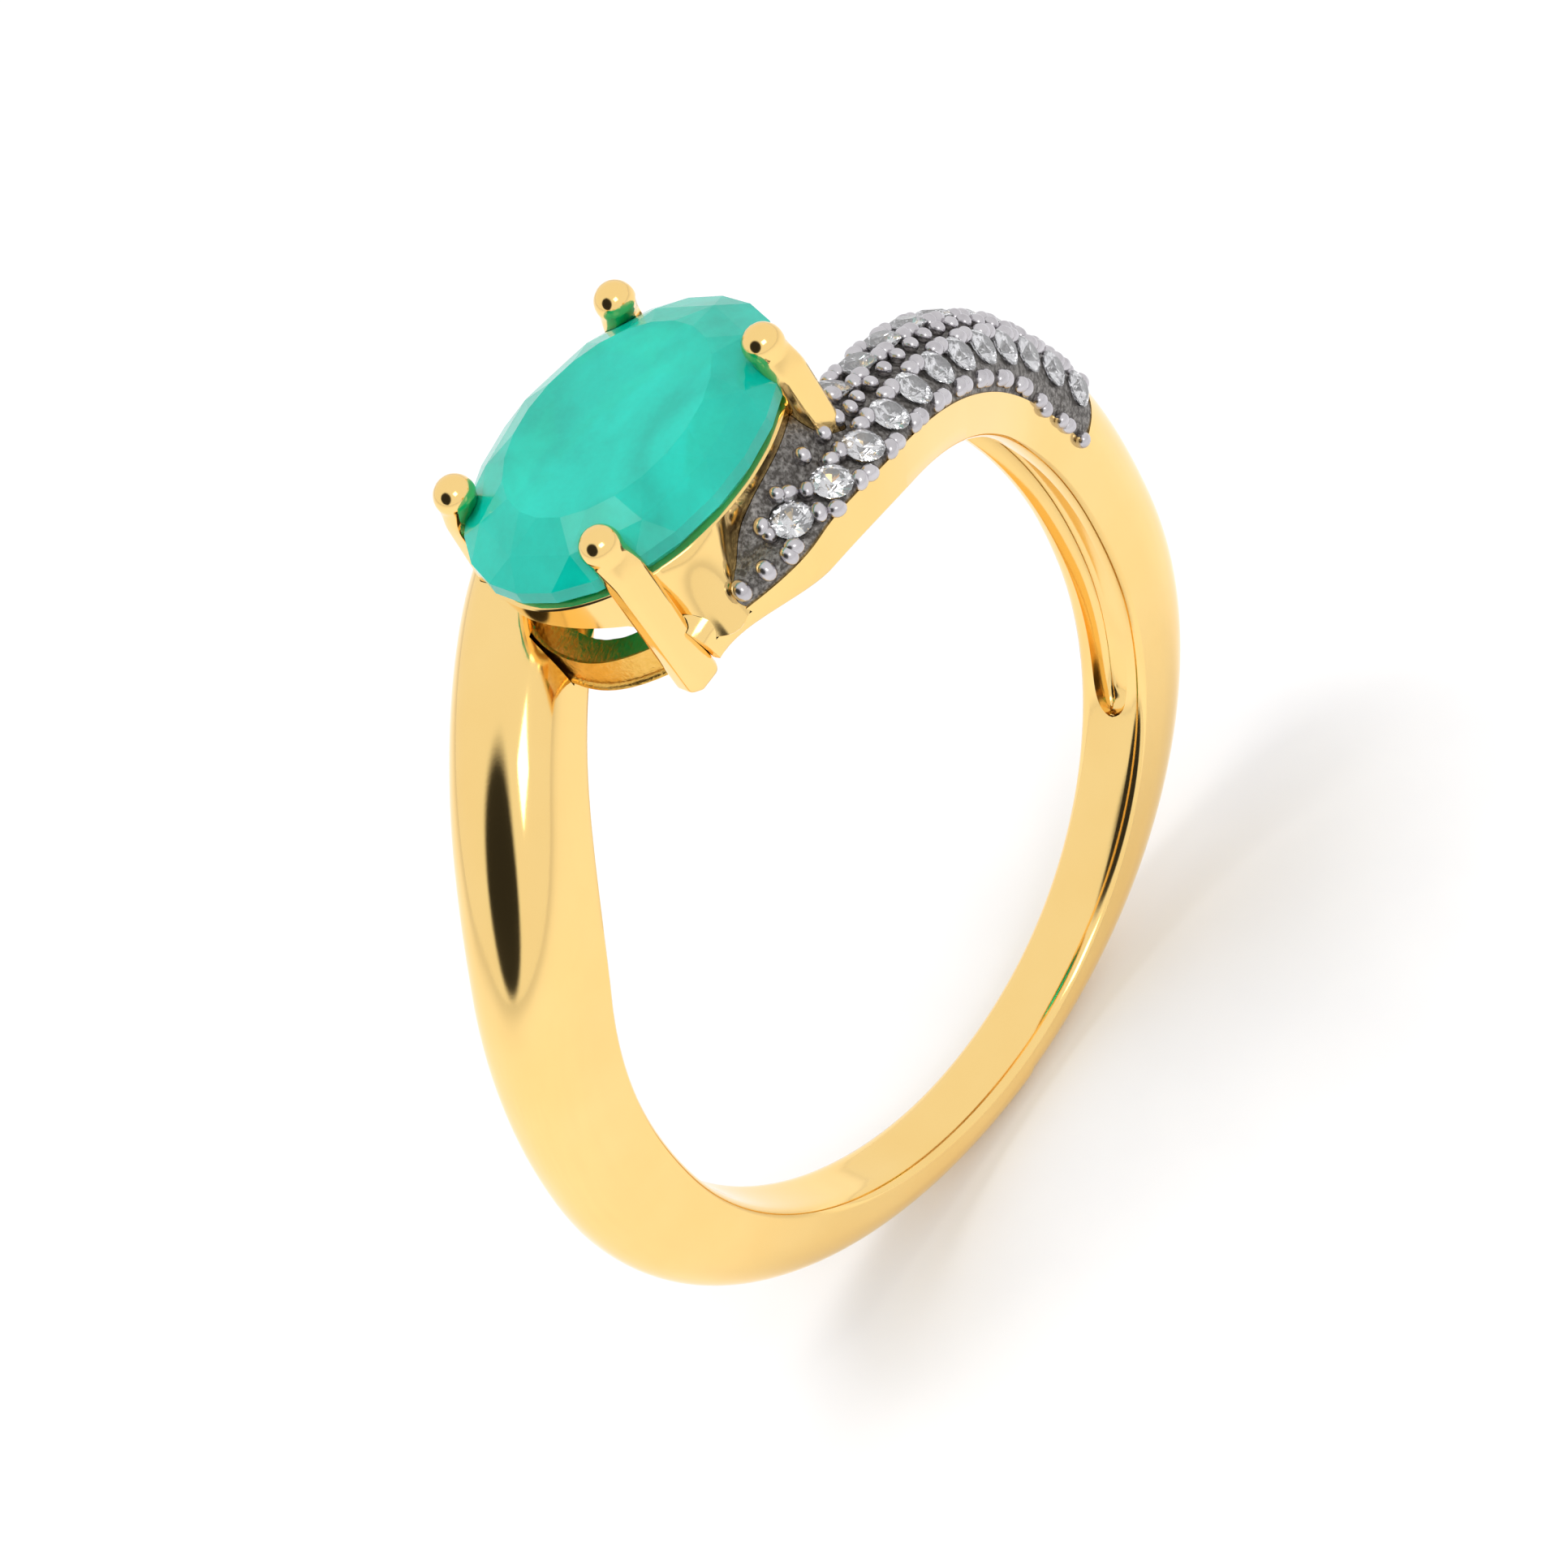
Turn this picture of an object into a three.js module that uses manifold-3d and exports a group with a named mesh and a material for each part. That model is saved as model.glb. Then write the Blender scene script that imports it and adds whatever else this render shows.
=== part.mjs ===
// Bypass-style cocktail ring: an oval coloured stone in a four-prong basket between two crossing arms,
// one plain and domed, the other carrying a two-row inlay of small round stones.
// Millimetres. Origin at the centre of the finger bore, bore axis along Y, head towards +Z,
// stone-set arm on the +X side sweeping to -Y, plain arm on the -X side sweeping to +Y.
import * as THREE from 'three';
import { mergeVertices } from 'three/addons/utils/BufferGeometryUtils.js';
import Module from 'manifold-3d';

const wasm = await Module();
wasm.setup();

// ---------- driving dimensions ----------
const BORE_RADIUS = 8.65;
const FIT_GAP = 0.03;            // clearance between every pair of touching pieces

// band and arms
const BAND_WIDTH = 1.72;         // width of the band at the back of the finger
const BAND_THICKNESS = 1.15;     // radial thickness at the back of the finger
const SIDE_WIDTH = 2.08;         // width of the band where the arms begin to rise
const SIDE_THICKNESS = 2.48;     // radial thickness there
const EASE_WIDTH = 0.34;         // comfort easing of the inner edges, across the band
const EASE_HEIGHT = 0.15;        // and outwards
const ARM_WIDTH = 2.95;          // widest part of each arm, on the shoulders
const ARM_SWEEP = 3.0;           // sideways travel of each arm's centre line at the head
const ARM_LIFT = 2.2;            // how far an arm's inner face leaves the bore at the head
const ARM_TIP_SHARE = 0.64;      // width of an arm's tip as a share of its widest part
const ARM_HOOK = 0.3;            // share of the sweep that the tip turns back
const PLAIN_CROWN = 3.6;         // top of the plain arm above the bore, beside the head
const PAVE_CROWN = 3.4;          // top of the stone-set arm above the bore, beside the head
const PLAIN_LAG = 4;             // degrees by which the plain arm turns later than the other

// centre stone
const GEM_LENGTH = 8.0;          // along X
const GEM_WIDTH = 6.0;           // along Y
const GIRDLE_HEIGHT = 4.75;      // girdle above the bore surface
const GIRDLE_THICKNESS = 0.3;
const CROWN_HEIGHT = 0.85;
const TABLE_RATIO = 0.66;
const PAVILION_DEPTH = 2.4;
const CULET_RATIO = 0.1;

// basket
const PRONG_WIDTH = 0.82;
const PRONG_DEPTH = 0.56;
const PRONG_BEVEL = 0.12;
const PRONG_INSET = 0.672;       // prong centres along X as a share of half the stone length
const PRONG_LEAN = 0.075;        // outward lean along Y for each millimetre of drop
const PRONG_OVERLAP = 0.14;      // how far the bars reach in past the stone's edge
const PRONG_SOCKET = 0.25;       // room in the arms behind each prong
const PRONG_BALL = 0.44;
const PRONG_TIP_RISE = 0.78;     // centre of the ball tip above the girdle
const PRONG_FOOT_DROP = 3.1;     // foot of the two prongs beside the arm tips, below the girdle
const EMBEDDED_FOOT_DROP = 2.0;  // foot of the two prongs that end in the arms
const COLLAR_TOP_DROP = 0.42;    // top edge of the collar below the girdle
const COLLAR_HEIGHT = 1.81;
const COLLAR_WALL = 0.42;
const COLLAR_INSET = 0.08;       // top of the collar inside the edge of the stone
const COLLAR_TAPER = 0.3;        // inward lean of the collar wall over its height
const CHEEK_FLARE = 1.2;         // outward spread of the wall's foot where it runs out over an arm's tip
const WINDOW_TOP_DROP = 0.63;    // crown of the arched lower edge at each end, below the top of the collar
const WINDOW_SAG = 0.55;         // how much lower the arch springs beside the prongs
const RAIL_CREST = 0.02;         // mean height of the rail's wavy top below the collar's foot
const RAIL_TOP_DROP = COLLAR_TOP_DROP + COLLAR_HEIGHT + RAIL_CREST;
const RAIL_HEIGHT = 0.85;
const RAIL_WALL = 0.78;
const RAIL_INSET = 0.2;          // ends of the rail inside the ends of the stone
const RAIL_PAST_PRONGS = 0.37;   // sides of the rail outside the prongs' centre line
const RAIL_SQUARENESS = 2.2;     // exponent of the rail's plan: 2 is an ellipse
const RAIL_WAVE = 0.08;          // half height of the waves in the edges of the rail

// inlay of small stones
const PAVE_STONE = 0.88;
const PAVE_FRONT_COUNT = 12;
const PAVE_REAR_COUNT = 9;
const PAVE_MARGIN_DEG = 3.6;     // first stones above the square end of the inlay
const PAVE_FRONT_END_DEG = 88.2; // last stone of each row
const PAVE_REAR_END_DEG = 71.5;
const PAVE_SIT = 0.05;           // girdle of each small stone above the metal around it
const FRONT_ROW = 0.74;          // rows across the arm, as shares of its half width
const FRONT_ROW_END = 0.5;       // share that the front row drifts in to at the arm's tip
const REAR_ROW = -0.27;
const BEAD_RADIUS = 0.17;
const BEAD_OFFSET = 0.36;        // beads beside a row's centre line, as a share of the stones' diameter
const BEAD_SIT = 0.04;
const INLAY_START_DEG = 21;      // square end of the inlay, degrees above +X
const INLAY_END_DEG = 98;        // its other end, against the collar
const RIM_HEIGHT = 1.05;         // side wall of the arm below the inlay
const TIP_RIM_HEIGHT = 0.6;      // and at the arm's tip
const BANK_HEIGHT = 0.9;         // rise of the inlay up the collar beside the prong
const RIM_LEDGE = 0.05;          // step from the side of the arm in to the inlay

// relief slot inside the stone-set arm
const SLOT_WIDTH = 0.85;
const SLOT_DEPTH = 0.45;
const SLOT_FROM_DEG = -32;
const SLOT_TO_DEG = 44;

// ---------- colours and finishes ----------
const finish = (color, roughness, metalness) => ({ color, roughness, metalness });
const GOLD = finish(0xf0cf8c, 0.16, 1.0);
const RHODIUM = finish(0x9c9ba2, 0.3, 1.0);
const TEAL_STONE = finish(0x25bfa6, 0.08, 0.0);
const CLEAR_STONE = finish(0xe4e6ea, 0.05, 0.0);

// ---------- helpers ----------
const group = new THREE.Group();
group.name = 'cocktail_ring';
const rad = THREE.MathUtils.degToRad;
const deg = THREE.MathUtils.radToDeg;
const clamp01 = (v) => Math.min(1, Math.max(0, v));
const smooth = (a, b, v) => {
  const k = clamp01((v - a) / (b - a));
  return k * k * (3 - 2 * k);
};
const mix = (a, b, k) => a + (b - a) * k;

// Point at angle t (degrees from +X towards +Z), radius r from the bore axis, offset y along it.
const polar = (t, r, y) => new THREE.Vector3(r * Math.cos(rad(t)), y, r * Math.sin(rad(t)));

// Closed solid through a row of closed outlines, capped at both ends.
function loft(rings) {
  const count = rings[0].length;
  const points = rings.flat();
  const faces = [];
  for (let i = 0; i + 1 < rings.length; i += 1) {
    for (let j = 0; j < count; j += 1) {
      const a = i * count + j;
      const b = i * count + (j + 1) % count;
      faces.push(a, b, b + count, a, b + count, a + count);
    }
  }
  const last = (rings.length - 1) * count;
  for (const [start, flip] of [[0, true], [last, false]]) {
    const middle = new THREE.Vector3();
    for (let j = 0; j < count; j += 1) middle.addScaledVector(points[start + j], 1 / count);
    const centre = points.push(middle) - 1;
    for (let j = 0; j < count; j += 1) {
      const a = start + j;
      const b = start + (j + 1) % count;
      faces.push(centre, flip ? b : a, flip ? a : b);
    }
  }
  return solid(points.flatMap((p) => [p.x, p.y, p.z]), faces);
}

// Manifold solid from plain vertex and triangle lists, turned inside out if they face inwards.
function solid(coordinates, faces) {
  const at = (k) => new THREE.Vector3(...coordinates.slice(3 * k, 3 * k + 3));
  let volume = 0;
  for (let i = 0; i < faces.length; i += 3) {
    volume += at(faces[i]).dot(at(faces[i + 1]).cross(at(faces[i + 2])));
  }
  const order = volume > 0 ? faces : faces.slice().reverse();
  return new wasm.Manifold(new wasm.Mesh({
    numProp: 3,
    vertProperties: new Float32Array(coordinates),
    triVerts: new Uint32Array(order),
  }));
}

// Manifold solid from a closed three.js geometry.
function fromGeometry(geometry) {
  const bare = geometry.clone();
  bare.deleteAttribute('normal');
  bare.deleteAttribute('uv');
  const merged = mergeVertices(bare, 1e-5);
  return solid(Array.from(merged.attributes.position.array), Array.from(merged.index.array));
}

// Adds one named mesh to the ring from a manifold solid.
function addPiece(name, body, look) {
  const out = body.getMesh();
  const geometry = new THREE.BufferGeometry();
  const coordinates = [];
  for (let i = 0; i < out.vertProperties.length; i += out.numProp) {
    coordinates.push(...out.vertProperties.slice(i, i + 3));
  }
  geometry.setAttribute('position', new THREE.Float32BufferAttribute(coordinates, 3));
  geometry.setIndex(Array.from(out.triVerts));
  geometry.computeVertexNormals();
  const mesh = new THREE.Mesh(geometry, new THREE.MeshStandardMaterial(look));
  mesh.name = name;
  group.add(mesh);
}

// ---------- positions that follow from the dimensions ----------
const GIRDLE_Z = BORE_RADIUS + GIRDLE_HEIGHT;
const HALF_LENGTH = GEM_LENGTH / 2;
const HALF_WIDTH = GEM_WIDTH / 2;
const PRONG_X = PRONG_INSET * HALF_LENGTH;
const GEM_EDGE_Y = HALF_WIDTH * Math.sqrt(1 - PRONG_INSET ** 2);
const PRONG_Y = GEM_EDGE_Y + PRONG_DEPTH / 2 - PRONG_OVERLAP;
// nearer side of each prong, as a share of the stone's half length
const PRONG_NEAR = (PRONG_X - PRONG_WIDTH / 2) / HALF_LENGTH;
const COLLAR_TOP = GIRDLE_Z - COLLAR_TOP_DROP;
const COLLAR_BOTTOM = COLLAR_TOP - COLLAR_HEIGHT;
const RAIL_TOP = GIRDLE_Z - RAIL_TOP_DROP;
const RAIL_BOTTOM = RAIL_TOP - RAIL_HEIGHT;
const RAIL_A = HALF_LENGTH - RAIL_INSET;
const RAIL_B = PRONG_Y + PRONG_LEAN * RAIL_TOP_DROP + RAIL_PAST_PRONGS;
const HEAD_RADIUS = BORE_RADIUS + ARM_LIFT;
const HEAD_DEG = 90 - deg(Math.asin(PRONG_X / HEAD_RADIUS));
const TIP_DEG = 90 + deg(Math.asin((PRONG_X - PRONG_WIDTH / 2 - FIT_GAP) / HEAD_RADIUS));

// ---------- the arms ----------
// Each arm runs from the back of the finger (-90 degrees) up to its tip beside the far prong.
// side is +1 for the plain arm and -1 for the stone-set arm.
function armCentre(t, side) {
  const lag = side > 0 ? PLAIN_LAG : 0;
  return ARM_SWEEP * (smooth(30 + lag, 97 + lag, t) - ARM_HOOK * smooth(88, TIP_DEG, t));
}

function armHalf(t) {
  const ring = mix(BAND_WIDTH, SIDE_WIDTH, smooth(-80, 0, t));
  const shoulder = mix(ring, ARM_WIDTH, smooth(5, 55, t));
  return mix(shoulder, ARM_WIDTH * ARM_TIP_SHARE, smooth(HEAD_DEG - 4, TIP_DEG, t)) / 2;
}

const armInner = (t) => BORE_RADIUS + ARM_LIFT * smooth(-5, 107, t);

function armOuter(t, side) {
  const ring = mix(BAND_THICKNESS, SIDE_THICKNESS, side > 0 ? smooth(-85, 5, t) : smooth(-95, -8, t));
  const crown = side > 0 ? PLAIN_CROWN : PAVE_CROWN;
  return BORE_RADIUS + mix(ring, crown, smooth(0, side > 0 ? 78 : 58, t));
}

// Height of the side wall below the inlay.
const rimHeight = (t) => mix(RIM_HEIGHT, TIP_RIM_HEIGHT, smooth(84, 98, t));
// Height of an arm's side wall before the dome begins.
const armWall = (t, side) => mix(0.3 * (armOuter(t, side) - armInner(t)), rimHeight(t),
  side > 0 ? 0 : smooth(0, INLAY_START_DEG, t));
// Below 1 the dome is fuller than an ellipse.
const domePower = (side) => (side > 0 ? 0.85 : 1);
// The stone-set dome climbs the collar on its inner side. share runs from -1 beside the collar to 1.
const bank = (t, side, share) => (side > 0 ? 0
  : BANK_HEIGHT * smooth(70, 79, t) * (1 - smooth(85, 97, t)) * (1 - smooth(-0.2, 0.45, share)));

// Point on the dome of an arm: angle t, offset across the arm, lifted clear by height.
function domePoint(t, side, across, height) {
  const base = armInner(t) + armWall(t, side);
  const share = clamp01(Math.abs(across) / armHalf(t)) ** (1 / domePower(side));
  const rise = Math.sqrt(Math.max(0, 1 - share * share)) ** domePower(side);
  const r = base + (armOuter(t, side) - base) * rise + bank(t, side, across / armHalf(t)) + height;
  return polar(side > 0 ? 180 - t : t, r, side * (armCentre(t, side) - side * across));
}

// Outline of an arm at angle t. From the floor radius upwards it is drawn in by inset.
function armOutline(t, side, floor, inset, raise) {
  const centre = armCentre(t, side);
  const half = armHalf(t) - inset;
  const wall = armInner(t) + armWall(t, side);
  const bottom = floor ?? armInner(t);
  const ease = floor === undefined ? EASE_HEIGHT : 0;
  const outline = [];
  if (ease > 0) outline.push([bottom, centre - half + EASE_WIDTH]);
  outline.push([bottom + ease, centre - half]);
  for (let i = 1; i < DOME_STEPS; i += 1) {
    const a = Math.PI * (1 - i / DOME_STEPS);
    const across = Math.sign(Math.cos(a)) * Math.abs(Math.cos(a)) ** domePower(side);
    const rise = Math.sin(a) ** domePower(side);
    const r = Math.max(wall, bottom + ease + 0.02) + (armOuter(t, side) - wall) * rise;
    outline.push([r + raise + (floor === undefined ? 0 : bank(t, side, across)), centre + half * across]);
  }
  outline.push([bottom + ease, centre + half]);
  if (ease > 0) outline.push([bottom, centre + half - EASE_WIDTH]);
  return outline.map(([r, y]) => polar(side > 0 ? 180 - t : t, r, side * y));
}

const DOME_STEPS = 12;
const ARM_STATIONS = 40;
const spread = (from, to, count) => Array.from({ length: count + 1 }, (_, i) => mix(from, to, i / count));
const armStations = spread(-90, TIP_DEG, ARM_STATIONS);
const paveRings = armStations.map((t) => armOutline(t, -1, undefined, 0, 0));
const plainRings = armStations.map((t) => armOutline(t, 1, undefined, 0, 0).reverse());
let shank = loft([...paveRings.slice().reverse(), ...plainRings.slice(1)]);

// ---------- the basket ----------
// Rounded plan at height z: half sizes a and b, exponent n.
function plan(a, b, n, z, count) {
  return Array.from({ length: count }, (_, i) => {
    const w = 2 * Math.PI * (i + 0.5) / count;
    const c = Math.cos(w);
    const s = Math.sin(w);
    return new THREE.Vector3(
      a * Math.sign(c) * Math.abs(c) ** (2 / n), b * Math.sign(s) * Math.abs(s) ** (2 / n), z);
  });
}

const PLAN_STEPS = 48;
// How far the collar's wall stands outside the edge of the stone, at plan angle w and height z.
// Over each arm's tip its foot spreads into a cheek.
function wallOffset(w, z) {
  const drop = (COLLAR_TOP - z) / COLLAR_HEIGHT;
  const along = Math.cos(w) * Math.sign(Math.sin(w));
  const cheek = smooth(0.02, 0.42, along) * (1 - smooth(PRONG_NEAR - 0.09, PRONG_NEAR + 0.05, along));
  return CHEEK_FLARE * cheek * clamp01(drop) ** 1.3 - COLLAR_INSET - COLLAR_TAPER * drop;
}
function collarShell(grow, bottom, top) {
  const between = spread(COLLAR_BOTTOM, COLLAR_TOP, 4).filter((z) => z > bottom + 1e-6 && z < top - 1e-6);
  return loft([bottom, ...between, top].map((z) => Array.from({ length: PLAN_STEPS }, (_, i) => {
    const w = 2 * Math.PI * (i + 0.5) / PLAN_STEPS;
    const out = wallOffset(w, z) + grow;
    return new THREE.Vector3((HALF_LENGTH + out) * Math.cos(w), (HALF_WIDTH + out) * Math.sin(w), z);
  })));
}

let collar = collarShell(0, COLLAR_BOTTOM, COLLAR_TOP)
  .subtract(collarShell(-COLLAR_WALL, COLLAR_BOTTOM - 1, COLLAR_TOP + 1));
// The lower edge arches up under both narrow ends.
const WINDOW_HALF = PRONG_Y * 0.8;
const windowTop = COLLAR_TOP - WINDOW_TOP_DROP;
const opening = new THREE.Shape();
opening.moveTo(-WINDOW_HALF, COLLAR_BOTTOM - 1);
opening.lineTo(-WINDOW_HALF, windowTop - WINDOW_SAG);
opening.quadraticCurveTo(0, windowTop + WINDOW_SAG, WINDOW_HALF, windowTop - WINDOW_SAG);
opening.lineTo(WINDOW_HALF, COLLAR_BOTTOM - 1);
opening.closePath();
const openingExtrusion = { depth: 2 * HALF_LENGTH + 2, bevelEnabled: false, curveSegments: 8 };
const openingCut = new THREE.ExtrudeGeometry(opening, openingExtrusion)
  .rotateX(Math.PI / 2).rotateZ(Math.PI / 2).translate(-HALF_LENGTH - 1, 0, 0);
collar = collar.subtract(fromGeometry(openingCut));

// Lower rail of the gallery: a squarish ring whose upper and lower edges wave gently.
function railRing(a, b, z, waveSign) {
  return plan(a, b, RAIL_SQUARENESS, z, PLAN_STEPS).map((p) => {
    const w = Math.atan2(p.y / b, p.x / a);
    return p.setZ(z + waveSign * RAIL_WAVE * Math.cos(4 * w));
  });
}
const railOuter = (grow, drop, lift) => loft([
  railRing(RAIL_A + grow, RAIL_B + grow, RAIL_BOTTOM - drop, -1),
  railRing(RAIL_A + grow, RAIL_B + grow, RAIL_TOP + lift, -1)]);
let rail = railOuter(0, 0, 0).subtract(railOuter(-RAIL_WALL, 1, 1));

// One prong: a bevelled bar, bent in over the stone's edge and ending in a ball. sx, sy pick the corner.
function prong(sx, sy, grow) {
  const across = PRONG_WIDTH / 2 + grow;
  const depth = PRONG_DEPTH / 2 + grow;
  const cut = PRONG_BEVEL;
  const foot = GIRDLE_Z - (sx * sy > 0 ? PRONG_FOOT_DROP : EMBEDDED_FOOT_DROP) - grow;
  const tip = GIRDLE_Z + PRONG_TIP_RISE;
  const levels = [[foot, 0.72], [foot + 0.1, 0.93], [foot + 0.22, 1],
    [GIRDLE_Z + 0.15, 1], [tip - 0.28, 0.95], [tip, 0.8]];
  const bar = loft(levels.map(([z, scale]) => {
    const bend = (PRONG_DEPTH / 2 - 0.02) * smooth(GIRDLE_Z, tip, z);
    const y = PRONG_Y - bend + PRONG_LEAN * Math.max(0, GIRDLE_Z - z);
    const w = across * scale;
    const d = depth * scale;
    const corners = [[-w, -d], [w, -d], [w, d - cut], [w - cut, d], [-w + cut, d], [-w, d - cut]];
    return corners.map(([x, v]) => new THREE.Vector3(sx * PRONG_X + x, sy * (y + v), z));
  }));
  const ball = new THREE.SphereGeometry(PRONG_BALL + grow, 12, 8)
    .translate(sx * PRONG_X, sy * (PRONG_Y - PRONG_DEPTH / 2 + 0.02), tip);
  return bar.add(fromGeometry(ball));
}
const corners = [['prong_front_left', -1, -1], ['prong_front_right', 1, -1],
  ['prong_rear_left', -1, 1], ['prong_rear_right', 1, 1]];

// ---------- the centre stone ----------
function gem(grow) {
  const half = (ratio) => [HALF_LENGTH * ratio + grow, HALF_WIDTH * ratio + grow];
  const levels = [
    [CULET_RATIO, -PAVILION_DEPTH], [0.56, -PAVILION_DEPTH * 0.6], [0.86, -PAVILION_DEPTH * 0.24],
    [1, -GIRDLE_THICKNESS / 2], [1, GIRDLE_THICKNESS / 2],
    [0.86, CROWN_HEIGHT * 0.62], [TABLE_RATIO, CROWN_HEIGHT]];
  return loft(levels.map(([ratio, z]) => {
    const lift = Math.sign(z) * grow;
    return plan(...half(ratio), 2, GIRDLE_Z + z + lift, 24);
  }));
}

// ---------- the inlay ----------
const inlayStations = spread(INLAY_START_DEG, INLAY_END_DEG, 24);
const inlayFloor = (t) => armInner(t) + rimHeight(t);
let inlay = loft(inlayStations.map((t) => armOutline(t, -1, inlayFloor(t), RIM_LEDGE, 0)));
const inlayCut = loft([INLAY_START_DEG - 0.15, ...inlayStations.slice(1, -1), INLAY_END_DEG + 0.15].map(
  (t) => armOutline(t, -1, inlayFloor(t) - FIT_GAP, -0.3, 1)));

// Small stones walk down the arm at an even pitch, one row each side of its centre line.
const smallProfile = [[0, -0.42], [0.5, -0.03], [0.5, 0.03], [0.3, 0.16], [0, 0.16]];
function placed(geometry, t, share, offset, height) {
  const row = share * armHalf(t) + offset;
  const at = domePoint(t, -1, row, height);
  const along = domePoint(t + 0.5, -1, row, height).sub(at).normalize();
  const side = domePoint(t, -1, row + 0.05, height).sub(at).normalize();
  const up = new THREE.Vector3().crossVectors(side, along).normalize();
  if (up.dot(at) < 0) up.negate();
  const right = new THREE.Vector3().crossVectors(along, up);
  const frame = new THREE.Matrix4().makeBasis(right, along, up).setPosition(at);
  return fromGeometry(geometry.clone().applyMatrix4(frame));
}
// Angles of count stones spaced evenly along a row, from one angle to another.
function walk(share, from, to, count) {
  const steps = 400;
  const path = spread(from, to, steps).map((t) => domePoint(t, -1, share(t) * armHalf(t), 0));
  const lengths = path.map(() => 0);
  for (let i = 1; i <= steps; i += 1) lengths[i] = lengths[i - 1] + path[i].distanceTo(path[i - 1]);
  const pitch = lengths[steps] / (count - 1);
  return Array.from({ length: count }, (_, k) => {
    const nearest = lengths.findIndex((length) => length >= k * pitch - 1e-6);
    return mix(from, to, nearest / steps);
  });
}
function smallStone(grow) {
  const points = smallProfile.map(([r, z]) => new THREE.Vector2(
    r > 0 ? r * PAVE_STONE + grow : 0, z * PAVE_STONE + Math.sign(z) * grow));
  return new THREE.LatheGeometry(points, 10).rotateX(Math.PI / 2);
}
const bead = new THREE.SphereGeometry(BEAD_RADIUS, 6, 4).rotateX(Math.PI / 2);
const firstStone = INLAY_START_DEG + PAVE_MARGIN_DEG;
const frontShare = (t) => mix(FRONT_ROW, FRONT_ROW_END, smooth(80, 92, t));
const rearShare = () => REAR_ROW;
const rows = [
  { name: 'front', share: frontShare, end: PAVE_FRONT_END_DEG, count: PAVE_FRONT_COUNT },
  { name: 'rear', share: rearShare, end: PAVE_REAR_END_DEG, count: PAVE_REAR_COUNT },
];
const stones = [];
const seats = [];
const beads = [];
for (const { name, share, end, count } of rows) {
  const angles = walk(share, firstStone, end, count);
  angles.forEach((t, i) => {
    const label = String(i + 1).padStart(2, '0');
    stones.push([`pave_${name}_${label}`, placed(smallStone(0), t, share(t), 0, PAVE_SIT)]);
    seats.push(placed(smallStone(FIT_GAP), t, share(t), 0, PAVE_SIT));
    if (i + 1 === angles.length) return;
    const between = (t + angles[i + 1]) / 2;
    for (const edge of [-1, 1]) {
      beads.push(placed(bead, between, share(between), edge * BEAD_OFFSET * PAVE_STONE, BEAD_SIT));
    }
  });
}
for (const drop of beads) inlay = inlay.add(drop);
for (const seat of seats) {
  inlay = inlay.subtract(seat);
  shank = shank.subtract(seat);
}

// ---------- the relief slot ----------
const slotRings = spread(0, Math.PI, 18).map((turn) => {
  const k = (1 - Math.cos(turn)) / 2;
  const t = mix(SLOT_FROM_DEG, SLOT_TO_DEG, k);
  const round = Math.sqrt(Math.max(0.06, 1 - (2 * k - 1) ** 16));
  const half = SLOT_WIDTH / 2 * round * mix(0.85, 1.25, k);
  const floor = armInner(t) + SLOT_DEPTH * Math.min(1, round * 1.2);
  const y = armCentre(t, -1);
  const outline = [[armInner(t) - 1, half], [floor - 0.15, half], [floor, half * 0.6],
    [floor, -half * 0.6], [floor - 0.15, -half], [armInner(t) - 1, -half]];
  return outline.map(([r, v]) => polar(t, r, -(y + v)));
});

// ---------- fitting the pieces together ----------
const fullProngs = corners.map(([, sx, sy]) => prong(sx, sy, 0));
const prongCuts = corners.map(([, sx, sy]) => prong(sx, sy, FIT_GAP));
const headSpace = collarShell(FIT_GAP, COLLAR_BOTTOM - FIT_GAP, COLLAR_TOP + 2)
  .add(railOuter(FIT_GAP, FIT_GAP, 0.3));
shank = shank.subtract(inlayCut).subtract(loft(slotRings)).subtract(headSpace);
inlay = inlay.subtract(headSpace);
prongCuts.forEach((cut, i) => {
  // the arm's socket runs in behind the prong, so that no web of metal is left against the collar
  shank = shank.subtract(cut).subtract(cut.translate(0, -corners[i][2] * PRONG_SOCKET, 0));
  inlay = inlay.subtract(cut);
  collar = collar.subtract(cut);
  rail = rail.subtract(cut);
});
rail = rail.subtract(collarShell(FIT_GAP, COLLAR_BOTTOM - FIT_GAP, COLLAR_TOP));
const gemSpace = gem(FIT_GAP);
collar = collar.subtract(gemSpace);
rail = rail.subtract(gemSpace);

addPiece('shank', shank, GOLD);
addPiece('pave_bed', inlay, RHODIUM);
addPiece('head_collar', collar, GOLD);
addPiece('gallery_rail', rail, GOLD);
corners.forEach(([name], i) => addPiece(name, fullProngs[i].subtract(gemSpace), GOLD));
addPiece('centre_stone', gem(0), TEAL_STONE);
for (const [name, body] of stones) addPiece(name, body, CLEAR_STONE);

export default group;
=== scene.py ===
"""Cocktail ring in gold-plated silver: an oval stone in four claws between two crossing arms.

One arm is a plain polished dome, the other carries two rows of small brilliants held by raised grains.
Everything is shaped in millimetres, with the finger bore along Y and the head towards +Z, and each mesh is
turned to metres as it is finished.
"""

import logging
import math
from dataclasses import dataclass, field
from enum import Enum
from typing import Callable, Iterable, Sequence

import bmesh
import bpy
from bmesh.types import BMesh, BMVert
from bpy.types import ID, Material, Node, NodeSocket, NodeTree, Object
from mathutils import Matrix, Vector, noise

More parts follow.
